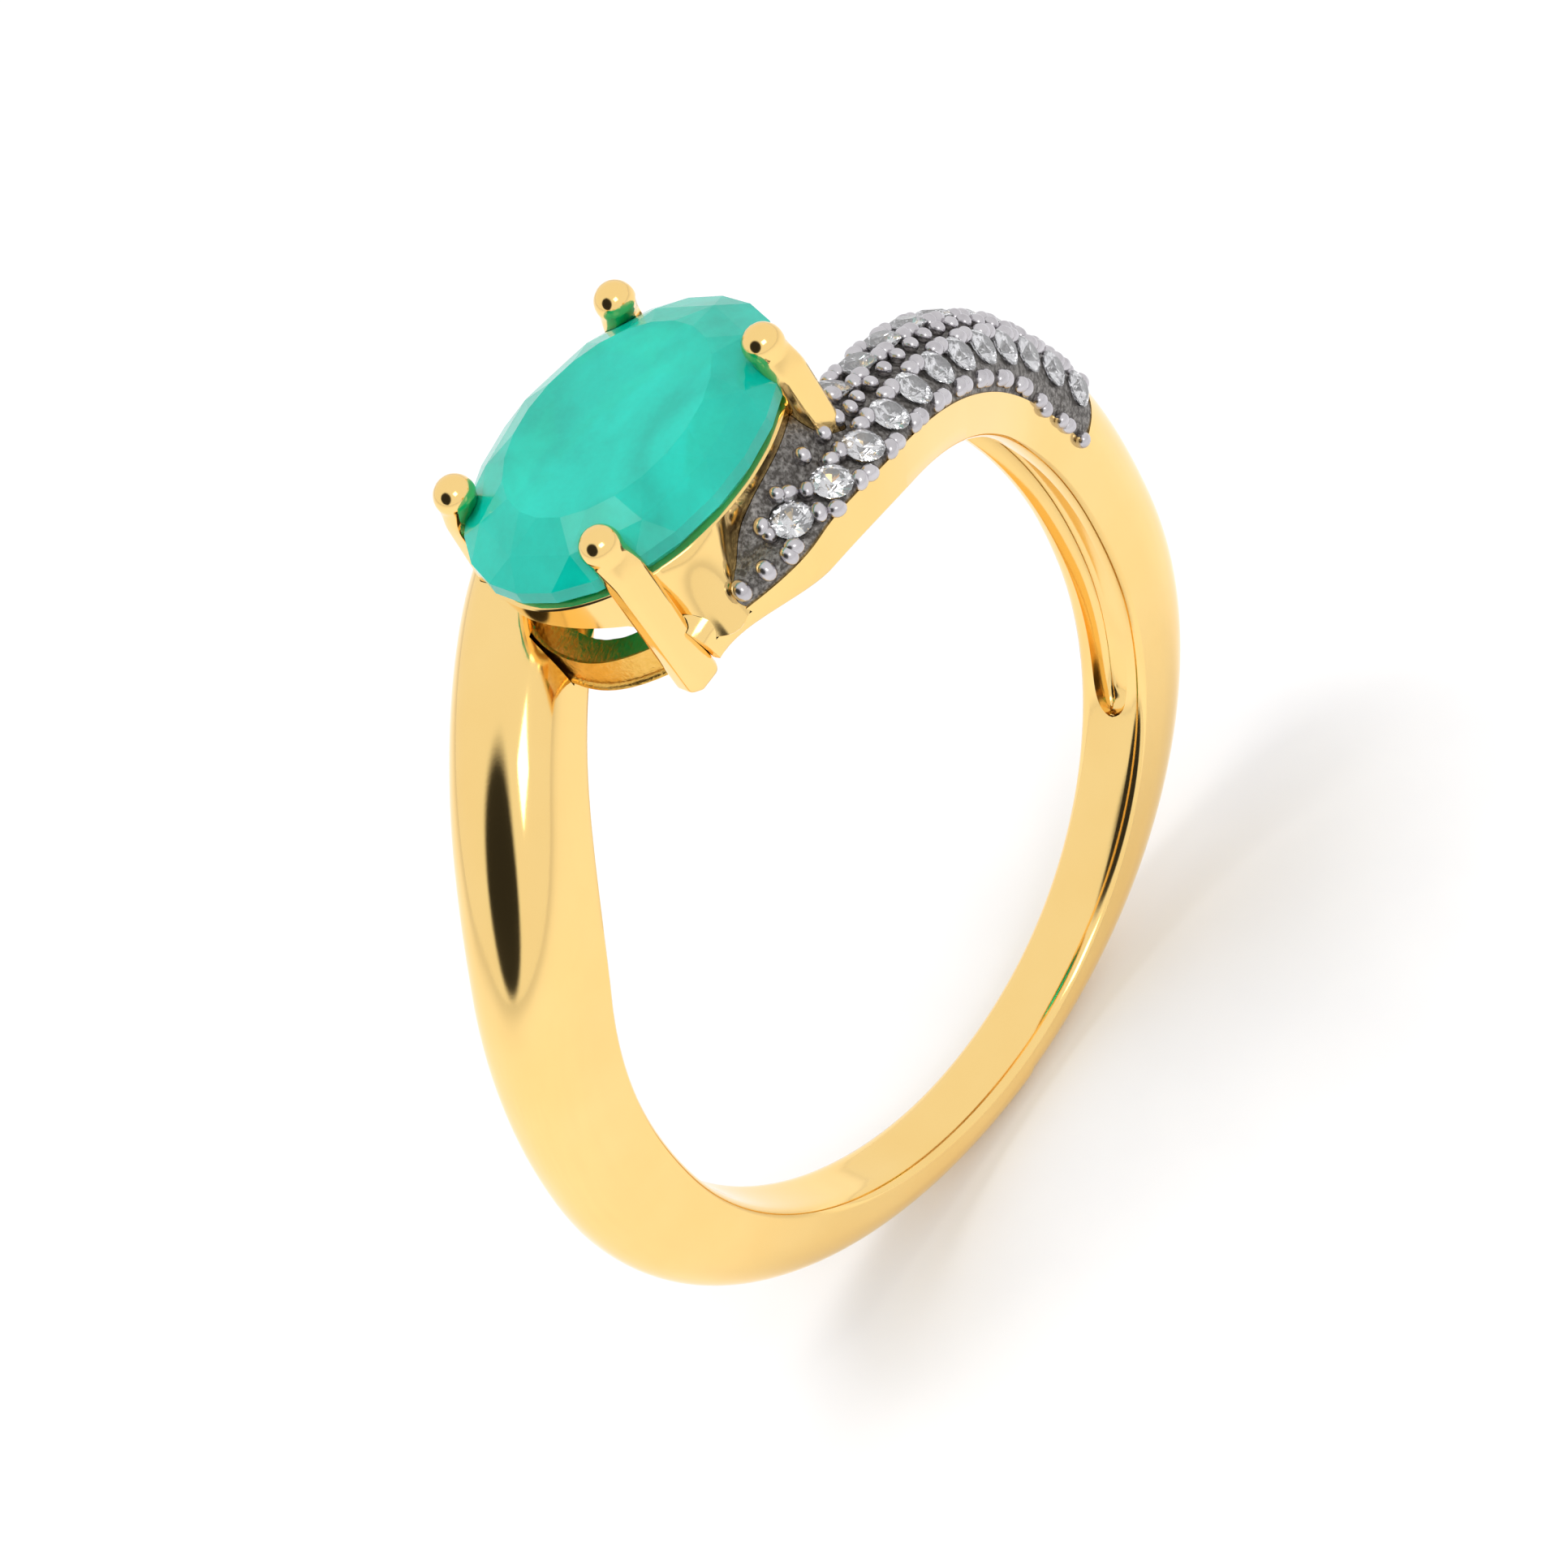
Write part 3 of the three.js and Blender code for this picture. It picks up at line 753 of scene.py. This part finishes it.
@dataclass
class Basket:
    """The head: a tapered collar under the stone, a wavy rail below it, and four claws."""

    head: Head
    gold: Material
    # finish of the rail, whose deeper gold is painted shade and painted reflection
    cast_with_painted_shade: Material
    collar_wall: float = 0.42
    collar_inset: float = 0.08
    collar_taper: float = 0.3
    cheek_flare: float = 1.2
    cheek_span: Span = (0.02, 0.42)
    cheek_fade: Span = (-0.2, 0.16)
    cheek_curve: float = 1.3
    lip_top: float = 0.07
    lip_foot: float = 0.05
    window_drop: float = 0.63
    window_sag: float = 0.55
    window_reach: float = 0.8
    window_edge: Span = (-0.02, 0.16)
    rail_wall: float = 0.78
    rail_squareness: float = 2.2
    rail_wave: float = 0.08
    rail_grit: float = 0.03
    claw_width: float = 0.82
    claw_depth: float = 0.56
    claw_bevel: float = 0.12
    claw_lean: float = 0.075
    claw_overlap: float = 0.14
    claw_ball: float = 0.44
    claw_rise: float = 0.78
    claw_foot_round: float = 0.14
    claw_foot_scale: float = 0.8
    claw_neck: float = 0.85
    claw_seam: float = 0.36
    free_foot: float = 3.1
    hidden_foot: float = 2.0
    gem_gap: float = 0.008
    arm_gap: float = 0.01
    rail_gap: float = 0.02
    girdle: float = GIRDLE

    def claw_y(self) -> float:
        """Place along Y of the claws at the girdle."""
        share = self.head.claw_x / self.head.half_length
        edge = self.head.half_width * math.sqrt(1 - share ** 2)
        return edge + self.claw_depth / 2 - self.claw_overlap

    def oval(self, turn: float, inward: float, z: float) -> Vector:
        """Point of the collar's wall, whose foot spreads into a cheek over each arm's tip.

        Args:
            turn: Angle round the stone in radians.
            inward: Distance in from the wall's outer face.
            z: Height.

        Returns:
            The point in millimetres.
        """
        drop = (self.head.collar_top - z) / (self.head.collar_top - self.head.collar_bottom)
        along = math.cos(turn) * math.copysign(1.0, math.sin(turn))
        near = (self.head.claw_x - self.claw_width / 2) / self.head.half_length
        cheek = smooth(*self.cheek_span, along) * (1 - smooth(*self.cheek_fade, along - near))
        out = self.cheek_flare * cheek * min(1.0, max(0.0, drop)) ** self.cheek_curve
        out -= self.collar_inset + self.collar_taper * max(0.0, drop) + inward
        return Vector(((self.head.half_length + out) * math.cos(turn),
                       (self.head.half_width + out) * math.sin(turn), z))

    def hem(self, turn: float) -> float:
        """Height of the collar's lower edge, which is cut away in an arch under both narrow ends."""
        y = self.head.half_width * math.sin(turn)
        reach = self.claw_y() * self.window_reach
        arch = self.head.collar_top - self.window_drop - self.window_sag * min(1.0, abs(y) / reach) ** 2
        return mix(arch, self.head.collar_bottom, smooth(*self.window_edge, abs(y) - reach))

    def make_collar(self) -> Object:
        """Oval wall with a rolled top edge and a soft lower one."""
        steps, lip, wall = 192, 5, 8
        bends = [math.pi * k / lip for k in range(1, lip)]
        half = self.collar_wall / 2
        profile = [(0.0, k / wall, 0.0) for k in range(wall + 1)]
        profile += [(half * (1 - math.cos(bend)), 1.0, self.lip_top * math.sin(bend)) for bend in bends]
        profile += [(2 * half, 1 - k / wall, 0.0) for k in range(wall + 1)]
        profile += [(half * (1 + math.cos(bend)), 0.0, -self.lip_foot * math.sin(bend)) for bend in bends]

        def place(i: int, j: int) -> Vector:
            turn = 2 * math.pi * (j % steps) / steps
            inward, share, bulge = profile[i]
            z = mix(self.hem(turn) + self.lip_foot, self.head.collar_top - self.lip_top, share)
            return self.oval(turn, inward, z + bulge)

        bm = wrap(len(profile), steps, place)
        return finish_piece("collar_wall", bm, self.gold, 40, ["head_collar"])

    def rail_point(self, turn: float, shrink: float, z: float) -> Vector:
        """Point of the rail's rounded-square plan, waving gently up and down."""
        soft = 2 / self.rail_squareness
        wave = -self.rail_wave * math.cos(4 * turn)
        return Vector(((self.head.rail_half_length - shrink) * power(math.cos(turn), soft),
                       (self.head.rail_half_width - shrink) * power(math.sin(turn), soft), z + wave))

    def make_rail(self) -> Object:
        """Lower rail with soft edges and the grain of the casting inside."""
        steps, side, corner = 220, 6, 3
        low, high = self.head.rail_bottom + self.rail_wave, self.head.rail_top - self.rail_wave
        soft = 0.1
        profile: list[tuple[float, float]] = []
        corners = [(soft, low + soft, 180.0), (soft, high - soft, 90.0),
                   (self.rail_wall - soft, high - soft, 0.0), (self.rail_wall - soft, low + soft, -90.0)]
        for (inward, z, start), (next_in, next_z, _) in zip(corners, corners[1:] + corners[:1]):
            for k in range(corner + 1):
                turn = math.radians(start - 90 * k / corner)
                profile.append((inward + soft * math.cos(turn), z + soft * math.sin(turn)))
            end_in, end_z = profile[-1]
            for k in range(1, side):
                share = k / side
                profile.append((end_in + (next_in - inward) * share, end_z + (next_z - z) * share))

        def place(i: int, j: int) -> Vector:
            turn = 2 * math.pi * (j % steps) / steps
            inward, z = profile[i]
            point = self.rail_point(turn, inward, z)
            if inward > self.rail_wall * 0.6:
                rough = self.rail_grit * noise.noise(point * 5)
                point += Vector((math.cos(turn), math.sin(turn), 0.3)) * rough
            return point

        bm = wrap(len(profile), steps, place)
        bm = combine(bm, self.shell(self.rail_gap, self.head.collar_bottom - self.rail_gap), Join.CUT)
        # the rail takes the cast gold with painted shade in its deeper tone
        return finish_piece("gallery_rail_cast", bm, self.cast_with_painted_shade, 50, ["gallery_rail"])

    def shell(self, grow: float, low: float) -> BMesh:
        """Solid that the collar fills, for cutting its neighbours."""
        steps = 96
        levels = [mix(low, self.head.collar_top, k / 8) for k in range(9)] + [self.head.collar_top + 2]

        def place(i: int, j: int) -> Vector:
            z = levels[j]
            return self.oval(2 * math.pi * i / steps, -grow, z)

        return wrap(steps, len(levels) - 1, place)

    def rail_body(self, grow: float) -> BMesh:
        """Solid that the rail fills, for cutting the arms."""
        steps = 96
        levels = [self.head.rail_bottom + self.rail_wave - grow, self.head.rail_top - self.rail_wave + 0.3]
        return wrap(steps, 1, lambda i, j: self.rail_point(2 * math.pi * i / steps, -grow, levels[j]))

    def claw(self, sx: int, sy: int, grow: float) -> BMesh:
        """One claw: a bar with one bevelled side, bent in over the stone, under a ball.

        Args:
            sx: Side of the stone along X.
            sy: Side of the stone along Y.
            grow: How much larger than the claw the solid is.

        Returns:
            The closed solid.
        """
        wide, deep, cut = self.claw_width / 2 + grow, self.claw_depth / 2 + grow, self.claw_bevel
        foot = self.girdle - (self.free_foot if sx * sy > 0 else self.hidden_foot) - grow
        tip = self.girdle + self.claw_rise
        ball = self.claw_ball + grow
        seam = -self.claw_seam * ball
        neck = tip - self.claw_neck
        levels: list[tuple[float, float]] = []
        for k in range(8):
            turn = math.pi / 2 * k / 8
            levels.append((foot + self.claw_foot_round * (1 - math.cos(turn)),
                           mix(self.claw_foot_scale, 1.0, math.sin(turn))))
        levels += [(mix(foot + self.claw_foot_round, neck, k / 12), 1.0) for k in range(13)]
        levels += [(mix(neck, tip + seam, k / 8), 1.0) for k in range(1, 8)]
        low = math.asin(seam / ball)
        levels += [(tip + ball * math.sin(mix(low, math.pi / 2, k / 16)), 1.0) for k in range(17)]
        soft = 0.05
        corners = [Vector(corner) for corner in (
            (-wide, -deep), (wide, -deep), (wide, deep - cut), (wide - cut, deep),
            (-wide + cut * 1.4, deep), (-wide, deep - cut * 1.6))]
        outline: list[Vector] = []
        for k, here in enumerate(corners):
            before, after = (corners[n] - here for n in (k - 1, (k + 1) % len(corners)))
            first = here + before.normalized() * min(soft, before.length * 0.3)
            last = here + after.normalized() * min(soft, after.length * 0.3)
            outline += [first, (first + last) * 0.25 + here * 0.5, last]
            ahead = here + after - last
            outline += [last + ahead * step / 5 for step in range(1, 4)]

        def place(i: int, j: int) -> Vector:
            z, scale = levels[j]
            bend = (self.claw_depth / 2 - 0.02) * smooth(self.girdle, tip, z)
            y = self.claw_y() - bend + self.claw_lean * max(0.0, self.girdle - z)
            radius = math.sqrt(max(0.0, ball ** 2 - max(seam, z - tip) ** 2))
            swell = smooth(neck, tip + seam, z)
            point = (outline[i] * scale).lerp(outline[i].normalized() * radius, swell)
            return Vector((sx * self.head.claw_x + point.x, sy * (y + point.y), z))

        return wrap(len(outline), len(levels) - 1, place)

    def make_claws(self, gem: Callable[[float], BMesh]) -> list[Object]:
        """Four claws, notched for the stone."""
        made = []
        for node, sx, sy in (("prong_front_left", -1, -1), ("prong_front_right", 1, -1),
                             ("prong_rear_left", -1, 1), ("prong_rear_right", 1, 1)):
            body = combine(self.claw(sx, sy, 0.0), gem(self.gem_gap), Join.CUT)
            made.append(finish_piece(node.replace("prong", "claw"), body, self.gold, 38, [node]))
        return made

    def clearance(self) -> list[BMesh]:
        """Solids that the arms and the inlay give way to."""
        gap = self.arm_gap
        claws = [self.claw(sx, sy, gap) for sx in (-1, 1) for sy in (-1, 1)]
        return [self.shell(gap, self.head.collar_bottom - gap), self.rail_body(gap), *claws]


@dataclass
class Shank:
    """The two arms and the band between them, in one smooth sweep."""

    form: ArmForm
    gold: Material
    slot_width: float = 0.85
    slot_depth: float = 0.45
    slot_from: float = -32.0
    slot_to: float = 44.0
    slot_spread: Span = (1.25, 2.1)
    slot_squareness: float = 0.45
    stations: list[tuple[float, Side, bool]] = field(default_factory=list)

    def lay_out(self) -> None:
        """Lists the sections from the tip of the stone-set arm round to the tip of the plain one."""
        tip = self.form.tip_deg
        start, end = self.form.inlay_start, self.form.inlay_end
        self.stations = [(mix(tip, end, k / 8), Side.STONE_SET, True) for k in range(9)]
        self.stations += [(mix(end, start, k / 120), Side.STONE_SET, False) for k in range(121)]
        self.stations += [(mix(start, -90, k / 130), Side.STONE_SET, True) for k in range(131)]
        self.stations += [(mix(-90, tip, k / 240), Side.PLAIN, True) for k in range(1, 241)]

    def slot(self) -> BMesh:
        """Relief slot inside the stone-set arm, with round ends."""
        steps, outline = 48, 20

        def place(i: int, j: int) -> Vector:
            share = (1 - math.cos(math.pi * j / steps)) / 2
            t = mix(self.slot_from, self.slot_to, share)
            roundness = math.sqrt(max(0.03, 1 - (2 * share - 1) ** 16))
            half = self.slot_width / 2 * roundness * mix(*self.slot_spread, share)
            depth = self.slot_depth * min(1.0, roundness * 1.2)
            turn = math.pi * i / (outline - 1)
            across = half * power(math.cos(turn), self.slot_squareness)
            down = mix(-1.0, depth, min(1.0, power(math.sin(turn), self.slot_squareness)))
            radius = self.form.inner(t) + down
            return polar(t, radius, -(self.form.centre(t, Side.STONE_SET) + across))

        return wrap(outline, steps, place)

    def make(self, clearance: Sequence[BMesh]) -> Object:
        """Sweeps the section, cuts the slot, and makes room for the head."""
        self.lay_out()
        section = Section(self.form)
        rows = []
        for t, side, domed in self.stations:
            outline = [self.form.world(t, side, r, y) for r, y in section.points(t, side, domed)]
            if side is Side.PLAIN:
                # the plain arm's section is the other one turned half a turn, so its points run backwards
                split = section.flat_steps + 1
                outline = outline[:split][::-1] + outline[split:][::-1]
            rows.append(outline)
        bm = wrap(section.count(), len(rows) - 1, lambda i, j: rows[j][i])
        bm = combine(bm, self.slot(), Join.CUT)
        for tool in clearance:
            bm = combine(bm, tool, Join.CUT)
        return finish_piece("shank_smooth", main_body(bm), self.gold, 35, ["shank"])


@dataclass
class Inlay:
    """Two rows of small brilliants in a dark bed, held by burnished grains."""

    form: ArmForm
    bed: Material
    grain: Material
    stone: Material
    first: float = 24.6
    diameter: float = 0.88
    sit: float = 0.05
    front_count: int = 12
    front_end: float = 88.2
    front_share: float = 0.74
    front_drift: float = 0.5
    drift_span: Span = (80, 92)
    rear_count: int = 9
    rear_end: float = 71.5
    rear_share: float = -0.27
    ledge: float = 0.05
    sunk: float = 0.1
    bed_fullness: float = 0.8
    seat_gap: float = 0.02
    rim_gap: float = 0.03
    seat_depth: float = 0.5
    seat_point: float = 0.08
    grain_radius: float = 0.195
    grain_out: float = 0.34
    grain_along: float = 0.37
    grain_lift: float = 0.02
    grain_form: tuple[float, float, float, float] = (1.15, 0.95, 1.0, 1.0)
    ridge_share: float = 0.2
    ridge_radius: float = 0.165
    ridge_count: int = 16
    loose_grains: tuple[tuple[float, float, float], ...] = (
        (96.2, 0.86, 0.21), (93.5, 0.85, 0.21), (91.2, 0.9, 0.19), (90.5, 0.39, 0.17),
        (87.0, 0.2, 0.17), (82.1, 0.2, 0.18), (78.6, 0.23, 0.18), (75.9, 0.22, 0.18), (73.5, 0.24, 0.17))

    def front(self, t: float) -> float:
        """Share of the half width at which the front row runs."""
        return mix(self.front_share, self.front_drift, smooth(*self.drift_span, t))

    def rear(self, _t: float) -> float:
        """Share of the half width at which the rear row runs."""
        return self.rear_share

    def places(self) -> list[tuple[str, float, float, float]]:
        """Name, row share, angle and angular pitch of every stone."""
        found = []
        rows = (("front", self.front, self.front_end, self.front_count),
                ("rear", self.rear, self.rear_end, self.rear_count))
        for row, share, end, count in rows:
            angles = self.form.walk(share, self.first, end, count)
            for k, t in enumerate(angles):
                near = angles[max(0, k - 1):k + 2]
                step = (near[-1] - near[0]) / (len(near) - 1)
                found.append((f"pave_{row}_{k + 1:02d}", share(t), t, step))
        return found

    def brilliant(self, frame: Matrix) -> BMesh:
        """Round brilliant with a table, stars, kites, a thin girdle and a pointed pavilion."""
        radius = self.diameter / 2
        # each ring of corners: share of the radius, share of the diameter, how many, share of a step turned
        rings = ((0.53, 0.155, 8, 0.0), (0.78, 0.095, 8, 0.5), (1.0, 0.014, 16, 0.0),
                 (1.0, -0.014, 16, 0.0), (0.42, -0.26, 8, 0.5), (0.0, -0.42, 1, 0.0))
        points = []
        for ratio, z, count, shift in rings:
            for k in range(count):
                turn = 2 * math.pi * (k + shift) / count
                corner = (radius * ratio * math.cos(turn), radius * ratio * math.sin(turn), z * self.diameter)
                points.append(frame @ Vector(corner))
        return hull(points)

    def make_stones(self) -> list[Object]:
        """One brilliant in each place."""
        made = []
        for name, share, t, _ in self.places():
            bm = self.brilliant(self.form.seat(t, share, 0.0, self.sit))
            made.append(finish_piece(f"{name}_brilliant", bm, self.stone, 1, [name]))
        return made

    def drill(self, frame: Matrix, low: float, high: float, height: float) -> BMesh:
        """Round cutter in a stone's place, from its radius at each end and its middle's height."""
        bm = bmesh.new()
        bmesh.ops.create_cone(bm, segments=28, cap_ends=True, radius1=low, radius2=high,
                              depth=self.seat_depth, matrix=frame @ Matrix.Translation((0, 0, height)))
        return bm

    def make_bed(self, clearance: Sequence[BMesh]) -> Object:
        """Dark bed with a seat under each stone."""
        stations, steps = 170, 44
        form = self.form

        def place(i: int, j: int) -> Vector:
            t = mix(form.inlay_start, form.inlay_end, j / stations)
            floor = form.inner(t) + form.rim(t)
            half, centre = form.half(t) - self.ledge, form.centre(t, Side.STONE_SET)
            rise = form.outer(t, Side.STONE_SET) - floor - self.sunk
            turn = math.pi * i / (steps - 1)
            dome = rise + form.bank(t, math.cos(turn))
            radius = floor + dome * math.sin(turn) ** self.bed_fullness
            return form.world(t, Side.STONE_SET, radius, centre + half * math.cos(turn))

        bm = wrap(steps, stations, place)
        seats = []
        half = self.diameter / 2
        for _, share, t, _ in self.places():
            frame = form.seat(t, share, 0.0, self.sit)
            cone = self.drill(frame, self.seat_point, half + self.seat_gap, -0.24)
            mouth = self.drill(frame, half + self.rim_gap, half + self.rim_gap, 0.2)
            seats.append(combine(cone, mouth, Join.ADD))
        bm = combine(bm, merge(seats), Join.CUT)
        for tool in clearance:
            bm = combine(bm, tool, Join.CUT)
        return finish_piece("inlay_bed", main_body(bm), self.bed, 45, ["pave_bed"])

    def make_grains(self) -> Object:
        """Four grains round every stone, a line of them between the rows, and single ones towards the tip."""
        spots = [(t + lean * self.grain_along * step, share, side * self.grain_out, self.grain_radius,
                  math.atan2(lean, side))
                 for _, share, t, step in self.places() for side in (-1, 1) for lean in (-1, 1)]
        ridge = self.form.walk(lambda _t: self.ridge_share, self.first, self.rear_end, self.ridge_count)
        spots += [(t, self.ridge_share, 0.0, self.ridge_radius, 0.0) for t in ridge]
        spots += [(t, share, 0.0, radius, 0.0) for t, share, radius in self.loose_grains]
        parts = []
        for t, share, offset, radius, aim in spots:
            frame = self.form.seat(t, share, offset, self.grain_lift)
            shape = Matrix.Rotation(aim, 4, "Z") @ Matrix.Diagonal(self.grain_form)
            grain = bmesh.new()
            bmesh.ops.create_uvsphere(
                grain, u_segments=18, v_segments=10, radius=radius, matrix=frame @ shape)
            parts.append(grain)
        return finish_piece("setting_grains", merge(parts), self.grain, 60, ["pave_bed"])


@dataclass
class CentreStone:
    """Oval mixed-cut stone with a wide table."""

    head: Head
    stone: Material
    girdle: float = GIRDLE
    girdle_half: float = 0.15
    table: float = 0.66
    bezel: float = 0.86
    culet: float = 0.1

    def body(self, grow: float) -> BMesh:
        """The cut stone, grown by a clearance."""
        crown = self.head.gem_high - self.girdle
        depth = self.girdle - self.head.gem_low
        # each ring of corners: share of the outline, height from the girdle, how many, share of a step turned
        rings = ((self.table, crown, 24, 0.5),
                 (self.bezel, crown * 0.62, 12, 0.0),
                 (1.0, self.girdle_half, 24, 0.5),
                 (1.0, -self.girdle_half, 24, 0.5),
                 (0.84, -depth * 0.3, 12, 0.0),
                 (0.5, -depth * 0.7, 8, 0.5),
                 (self.culet, -depth, 8, 0.0))
        points = []
        for ratio, z, count, shift in rings:
            for k in range(count):
                turn = 2 * math.pi * (k + shift) / count
                points.append(Vector(((self.head.half_length * ratio + grow) * math.cos(turn),
                                      (self.head.half_width * ratio + grow) * math.sin(turn),
                                      self.girdle + z + math.copysign(grow, z))))
        return hull(points)

    def make(self) -> Object:
        """The stone itself."""
        return finish_piece("centre_stone_cut", self.body(0.0), self.stone, 1, ["centre_stone"])


# ---------------------------------------------------------------- studio


@dataclass(frozen=True)
class Softbox:
    """A square area light aimed at the ring; sizes in millimetres."""

    name: str
    place: tuple[float, float, float]
    size: float
    power: float
    shows: bool = False

    def make(self) -> None:
        """Hangs the light, out of sight of the polished metal unless it shows."""
        data = bpy.data.lights.new(self.name, "AREA")
        data.size = self.size * MILLIMETRE
        data.energy = self.power
        lamp = put(self.name, data)
        lamp.location = Vector(self.place) * MILLIMETRE
        lamp.rotation_mode = "QUATERNION"
        lamp.rotation_quaternion = (-lamp.location).to_track_quat("-Z", "Y")
        lamp.visible_glossy = self.shows


@dataclass
class Studio:
    """White paper table, a pale room, and soft lights."""

    paper: Material
    lights: tuple[Softbox, ...] = (
        Softbox("overhead_key", (-45, 22, 195), 80, 0.14),
        Softbox("camera_side_panel", (-35, -135, 145), 60, 0.035, shows=True),
    )
    gap_centre: tuple[float, float, float] = (0.0, -0.04, 0.45)
    gap_scale: tuple[float, float, float] = (0.0, 1.95, 2.3)
    gap_edge: Span = (1.08, 0.88)
    gap_left: Span = (-0.1, -0.3)
    gap_light: Span = (0.97, 0.03)

    def floor(self, height: float) -> None:
        """Lays the paper under the ring."""
        bm = bmesh.new()
        bmesh.ops.create_grid(bm, x_segments=1, y_segments=1, size=2.0,
                              matrix=Matrix.Translation((0, 0, height)))
        mesh = bpy.data.meshes.new("paper_table")
        bm.to_mesh(mesh)
        bm.free()
        mesh.materials.append(self.paper)
        put("paper_table", mesh)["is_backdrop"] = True

    def room(self) -> None:
        """Even white light from all round, but for the dark gap between the panels on the left."""
        world = bpy.data.worlds.new("white_room")
        bpy.context.scene.world = world
        world.use_nodes = True
        tree = world.node_tree
        tree.nodes.clear()
        place = add_node(tree, "ShaderNodeTexCoord", {}, {})
        split = add_node(tree, "ShaderNodeSeparateXYZ", {}, {0: place.outputs["Generated"]})
        offset = add_node(tree, "ShaderNodeVectorMath", {"operation": "SUBTRACT"}, {
            0: place.outputs["Generated"], 1: self.gap_centre})
        oval = add_node(tree, "ShaderNodeVectorMath", {"operation": "MULTIPLY"}, {
            0: offset.outputs[0], 1: self.gap_scale})
        away = add_node(tree, "ShaderNodeVectorMath", {"operation": "LENGTH"}, {0: oval.outputs[0]})
        within = stretch(tree, away.outputs[1], self.gap_edge, kind="SMOOTHSTEP")
        left = stretch(tree, split.outputs[0], self.gap_left, kind="SMOOTHSTEP")
        gap = add_node(tree, "ShaderNodeMath", {"operation": "MULTIPLY"}, {0: within, 1: left})
        level = stretch(tree, gap.outputs[0], (0.0, 1.0), self.gap_light)
        back = add_node(tree, "ShaderNodeBackground", {}, {0: linear("#FFFFFF"), 1: level})
        add_node(tree, "ShaderNodeOutputWorld", {}, {0: back.outputs[0]})

    def camera(self) -> None:
        """Camera above the front of the ring, looking down on the head, turned on its side a little."""
        back = Vector((-0.3209, -0.6018, 0.7314))
        right = Vector((0.5629, -0.7422, -0.3637))
        up = Vector((0.7617, 0.2950, 0.5769))
        distance = 77.8 * MILLIMETRE
        data = bpy.data.cameras.new("camera")
        data.sensor_width = 36.0
        data.lens = 79.04
        data.shift_x = -0.0558
        data.shift_y = 0.0343
        data.clip_start = 0.002
        data.clip_end = 5.0
        camera = put("camera", data)
        camera.location = back * distance
        camera.rotation_mode = "QUATERNION"
        camera.rotation_quaternion = Matrix((right, up, back)).transposed().to_quaternion()
        bpy.context.scene.camera = camera

    def make(self, floor_height: float) -> None:
        """Sets up the whole studio."""
        for light in self.lights:
            light.make()
        self.floor(floor_height)
        self.room()
        self.camera()
        bpy.context.scene.view_settings.view_transform = "Standard"


def corners() -> list[list[float]]:
    """The whole object's box as plain lists."""
    return [list(corner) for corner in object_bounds()]


def main() -> None:
    """Builds the ring and its studio."""
    logging.basicConfig(level=logging.INFO, format="%(name)s: %(message)s")
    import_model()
    cad_box = corners()
    head = Head.measure()
    form = ArmForm()
    gold = PolishedGold().build()
    stone = CentreStone(head, TealStone().build())
    basket = Basket(head, gold, CastGoldPaintedShade().build())
    basket.make_collar()
    basket.make_rail()
    basket.make_claws(stone.body)
    stone.make()
    Shank(form, gold).make(basket.clearance())
    inlay = Inlay(form, DarkRhodium().build(), BrightRhodium().build(), ClearStone().build())
    inlay.make_bed(basket.clearance())
    inlay.make_grains()
    inlay.make_stones()
    Studio(PaperSweep().build()).make(cad_box[0][2])


if __name__ == "__main__":
    main()
